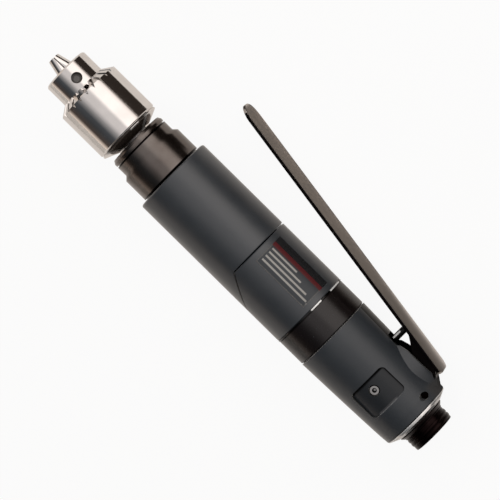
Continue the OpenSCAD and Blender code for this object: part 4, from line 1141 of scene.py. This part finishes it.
class DRILL_OT_label(bpy.types.Operator):
    """Models the bare label plate with its stripe, blank lines and a painted highlight on its border"""

    bl_idname = "drill.label"
    bl_label = "Label plate"

    def execute(self, context):
        size = sizes()
        tones = colours()
        spots = [v.co for v in NODES["label_plate"].data.vertices]
        low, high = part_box("label_plate")
        radius = max(math.hypot(spot.y, spot.z) for spot in spots)
        turns = [math.atan2(spot.dot(SIDE_WAY), spot.dot(LEVER_WAY)) for spot in spots]
        first, last = max(turns), min(turns)
        columns = round((high.x - low.x) / size.label_cell)
        rows = round((first - last) * radius / size.label_cell)
        plate = self.plate(low.x, high.x, radius, first, last, columns, rows)
        black = gloss_coat("label_black", tones.label, tones.composite, roughness=0.22)
        stripe = gloss_coat("label_stripe", tones.stripe, tones.dark_edge_and_ear_shade, roughness=0.24)
        rule = gloss_coat("label_rule", tones.rule, tones.nickel, roughness=0.30)
        grey = gloss_coat("label_grey", tones.composite, tones.composite_pale, roughness=0.26)
        # Painted highlight: a paler colour on the border cells, for the light on the plate's raised edge
        border = gloss_coat("label_border_highlight", tones.border, tones.nickel, roughness=0.30)
        finished(plate, "housing", "label_plate", "gloss_black", black, stripe, rule, grey, border)
        for face in plate.data.polygons:
            centre = face.center
            turn = math.atan2(centre.dot(SIDE_WAY), centre.dot(LEVER_WAY))
            column = int((high.x - centre.x) / (high.x - low.x) * columns)
            row = int((first - turn) / (first - last) * rows)
            face.material_index = self.print_of(row, column, rows, columns)
        return {"FINISHED"}

    def plate(self, start, end, radius, first, last, columns, rows):
        """Thin plate, bent round the housing by spinning its long edge."""
        edge = upright(math.cos(first), math.sin(first)) * radius
        deselect()
        half = (end - start) / 2
        bpy.ops.mesh.primitive_plane_add(size=2 * half, location=(start + half, edge.y + half, edge.z))
        plate = named("label_plate_printed")
        editing(plate)
        pick(plate, "VERT", lambda v: v.co.y > edge.y + half)
        bpy.ops.mesh.delete(type="VERT")
        bpy.ops.mesh.select_all(action="SELECT")
        bpy.ops.mesh.subdivide(number_cuts=columns - 1)
        bpy.ops.mesh.select_all(action="SELECT")
        bpy.ops.mesh.spin(steps=rows, angle=first - last, center=(0, 0, 0), axis=(1, 0, 0))
        bpy.ops.object.mode_set(mode="OBJECT")
        cleaned(plate)
        thick = plate.modifiers.new("thickness", "SOLIDIFY")
        thick.thickness = sizes().label_thickness
        thick.offset = -1
        apply_modifiers(plate)
        return cleaned(plate)

    def print_of(self, row, column, rows, columns):
        """Number of the material on a cell: print, or the painted highlight of the border."""
        stripe_start, stripe_end = STRIPE_EDGES
        if row < rows * stripe_start:
            return BLACK
        if row < rows * stripe_end:
            return STRIPE
        if row >= rows - 1 or column >= columns - 1 or column < 1:
            return BORDER_HIGHLIGHT
        line, height = divmod(row - round(rows * FIRST_LINE), LINE_PITCH)
        if not 0 <= line < len(LABEL_LINES) or height >= LINE_HEIGHT:
            return GREY
        return RULE if LINE_MARGIN < column < columns * LABEL_LINES[line] else GREY


class DRILL_OT_spring(bpy.types.Operator):
    """Models the valve spring from round wire"""

    bl_idname = "drill.spring"
    bl_label = "Valve spring"

    def execute(self, context):
        size = sizes()
        low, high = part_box("valve_spring")
        wire = size.wire_radius
        pitch = (high.x - low.x - 2 * wire) / size.spring_turns
        spring = helix(
            "valve_spring_wound", radius=high.y - wire, half_width=wire, height_share=1.0,
            start=low.x + wire, pitch=pitch, turns=size.spring_turns, sides=12, steps=40)
        cleaned(spring, 60)
        steel = colours().steel
        wound = turned_metal("spring_wire", steel, scaled(steel, 0.8), roughness=0.22)
        finished(spring, "housing", "valve_spring", "machined_steel", wound)
        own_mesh(spring)
        return {"FINISHED"}


class DRILL_OT_stage(bpy.types.Operator):
    """Sets up the camera, the soft lights, the floor and the reflecting cards"""

    bl_idname = "drill.stage"
    bl_label = "Stage"

    def execute(self, context):
        stage = context.scene.drill_stage
        context.scene.view_settings.view_transform = "Standard"
        self.camera(context, stage)
        self.lights(stage)
        self.floor(stage)
        self.cards(stage)
        self.world(context, stage)
        return {"FINISHED"}

    def camera(self, context, stage):
        """Camera square to the tool axis, turned so that the tool slants in the picture."""
        aside = turned_way(math.pi / 2)
        right = aside * math.sin(stage.slant) - AXIS * math.cos(stage.slant)
        above = aside * math.cos(stage.slant) + AXIS * math.sin(stage.slant)
        data = bpy.data.cameras.new("camera")
        data.sensor_width = 36
        data.lens = data.sensor_width * stage.distance / stage.field
        data.clip_end = 20
        camera = bpy.data.objects.new("camera", data)
        turn = Matrix((right, above, turned_way(0))).transposed()
        camera.matrix_world = turn.to_4x4()
        camera.location = AXIS * stage.aim + aside * stage.aside + turned_way(0) * stage.distance
        context.scene.collection.objects.link(camera)
        context.scene.camera = camera

    def soft_box(self, name, angle, distance, width, height, brightness):
        """Soft box at an angle from the camera's way, of a width along the tool."""
        data = bpy.data.lights.new(name, "AREA")
        data.shape = "RECTANGLE"
        data.size = width
        data.size_y = height
        data.energy = brightness * math.pi * width * height
        light = bpy.data.objects.new(name, data)
        back = turned_way(angle)
        light.matrix_world = Matrix((AXIS, back.cross(AXIS), back)).transposed().to_4x4()
        light.location = AXIS * bpy.context.scene.drill_stage.aim + back * distance
        light.visible_camera = False
        light.visible_glossy = False
        bpy.context.scene.collection.objects.link(light)
        return light

    def lights(self, stage):
        """Key light toward the chuck, and a fill light from the other side."""
        key = self.soft_box(
            "key_box", angle=math.radians(17.5), distance=0.9, width=1.1, height=1.38, brightness=stage.key)
        key.location.x += stage.key_shift
        self.soft_box(
            "fill_box", angle=math.radians(-34), distance=0.9, width=1.7, height=0.46, brightness=stage.fill)

    def card(self, name, corner, along, up, colour):
        """Card that only shows in reflections: a plane with a corner and the two corners next to it."""
        deselect()
        first = Vector(along) - Vector(corner)
        second = Vector(up) - Vector(corner)
        bpy.ops.mesh.primitive_plane_add(size=1)
        card = bpy.context.object
        card.name = name
        place = Matrix((first, second, first.cross(second).normalized())).transposed().to_4x4()
        place.translation = Vector(corner) + (first + second) / 2
        card.matrix_world = place
        finish = Finish(name)
        finish.set(Base_Color=colour, Roughness=1.0, Specular_IOR_Level=0.0)
        card.data.materials.append(finish.material)
        card.visible_camera = False
        card.visible_diffuse = False
        card.visible_shadow = False

    def floor(self, stage):
        """Pale floor, white to the camera and tinted in reflections, that keeps the tool's shadow."""
        deselect()
        bpy.ops.mesh.primitive_plane_add(size=12, location=(stage.aim, 0, CAD_BOX[0][2]))
        floor = named("floor")
        finish = Finish("floor")
        finish.set(Base_Color=stage.floor, Roughness=0.9, Specular_IOR_Level=0.1)
        seen = finish.wire.node("ShaderNodeLightPath", out=0)
        mirrored = finish.wire.node("ShaderNodeLightPath", out=3)
        light = finish.wire.node(
            "ShaderNodeEmission", Color=mirrored.blend((1, 1, 1), stage.floor_tint), Strength=1.0)
        finish.cover(seen * stage.floor_white + mirrored * stage.floor_gleam, light)
        floor.data.materials.append(finish.material)

    def cards(self, stage):
        """Dark cards on the floor at the lever's side, a brown one under the lever and a pale wall."""
        level = CAD_BOX[0][2]
        lift = 0.4 * MM
        low = level + lift
        high = low + lift
        dark = stage.card_dark
        brown = stage.card_brown
        near = -0.062
        self.card("dark_card", (-0.6, near, low), (0.9, near, low), (-0.6, -1.5, low), dark)
        self.card("nose_card", (0.19, -0.040, low), (0.3, -0.040, low), (0.19, near, low), dark)
        self.card("lever_card", (0, -0.0143, high), (0.178, -0.0543, high), (0, -0.08, high), brown)
        wall = 0.8
        top = level + 0.34
        self.card("pale_card", (-0.8, wall, level), (1.1, wall, level), (-0.8, wall, top), stage.floor)

    def world(self, context, stage):
        """Even light all round, and for reflections a studio of soft boxes and dark walls about the tool."""
        world = bpy.data.worlds.new("studio")
        world.use_nodes = True
        tree = world.node_tree
        tree.nodes.clear()
        wire = Wire(tree, None)
        seen = wire.node("ShaderNodeLightPath", out=0)
        shiny = wire.node("ShaderNodeLightPath", out=3)
        way = wire.node("ShaderNodeTexCoord", out=0)
        ahead = way.dot(turned_way(0))
        aside = way.dot(turned_way(math.pi / 2))
        turn = wire.maths("ARCTAN2", aside, ahead) * (1 / (2 * math.pi)) + 0.5
        stops = [(0.5 + degrees / 360, colour) for degrees, colour in STUDIO]
        studio = wire.node("ShaderNodeValToRGB", {"stops": stops}, Fac=turn)
        even = (1 - seen) * stage.ambient + seen
        tint = shiny.blend((1, 1, 1), studio)
        rear = way.dot(-AXIS)
        gleam = stage.gleam * (1 - stage.rear_shade * rear.clip(0.05, 0.6))
        strength = shiny * gleam + (1 - shiny) * even
        light = wire.node("ShaderNodeBackground", Color=tint, Strength=strength)
        end = tree.nodes.new("ShaderNodeOutputWorld")
        tree.links.new(light.socket, end.inputs["Surface"])
        context.scene.world = world


PIECES = (
    DRILL_OT_housings, DRILL_OT_band, DRILL_OT_nose, DRILL_OT_chuck, DRILL_OT_inside,
    DRILL_OT_inlet, DRILL_OT_lever, DRILL_OT_label, DRILL_OT_spring, DRILL_OT_stage)


class DRILL_PT_panel(bpy.types.Panel):
    """Lists the drill's pieces and its stage"""

    bl_idname = "DRILL_PT_panel"
    bl_label = "Air Drill"
    bl_space_type = "VIEW_3D"
    bl_region_type = "UI"
    bl_category = "Air Drill"

    def draw(self, context):
        for piece in PIECES:
            self.layout.operator(piece.bl_idname)


GROUPS = {"drill_sizes": DrillSizes, "drill_colours": DrillColours, "drill_stage": DrillStage}
CLASSES = (*GROUPS.values(), *PIECES, DRILL_PT_panel)


def register():
    for made in CLASSES:
        bpy.utils.register_class(made)
    for name, group in GROUPS.items():
        setattr(bpy.types.Scene, name, PointerProperty(type=group))


def unregister():
    for name in GROUPS:
        delattr(bpy.types.Scene, name)
    for made in reversed(CLASSES):
        bpy.utils.unregister_class(made)


def main():
    register()
    for piece in PIECES:
        group, name = piece.bl_idname.split(".")
        getattr(getattr(bpy.ops, group), name)()


if __name__ == "__main__":
    main()
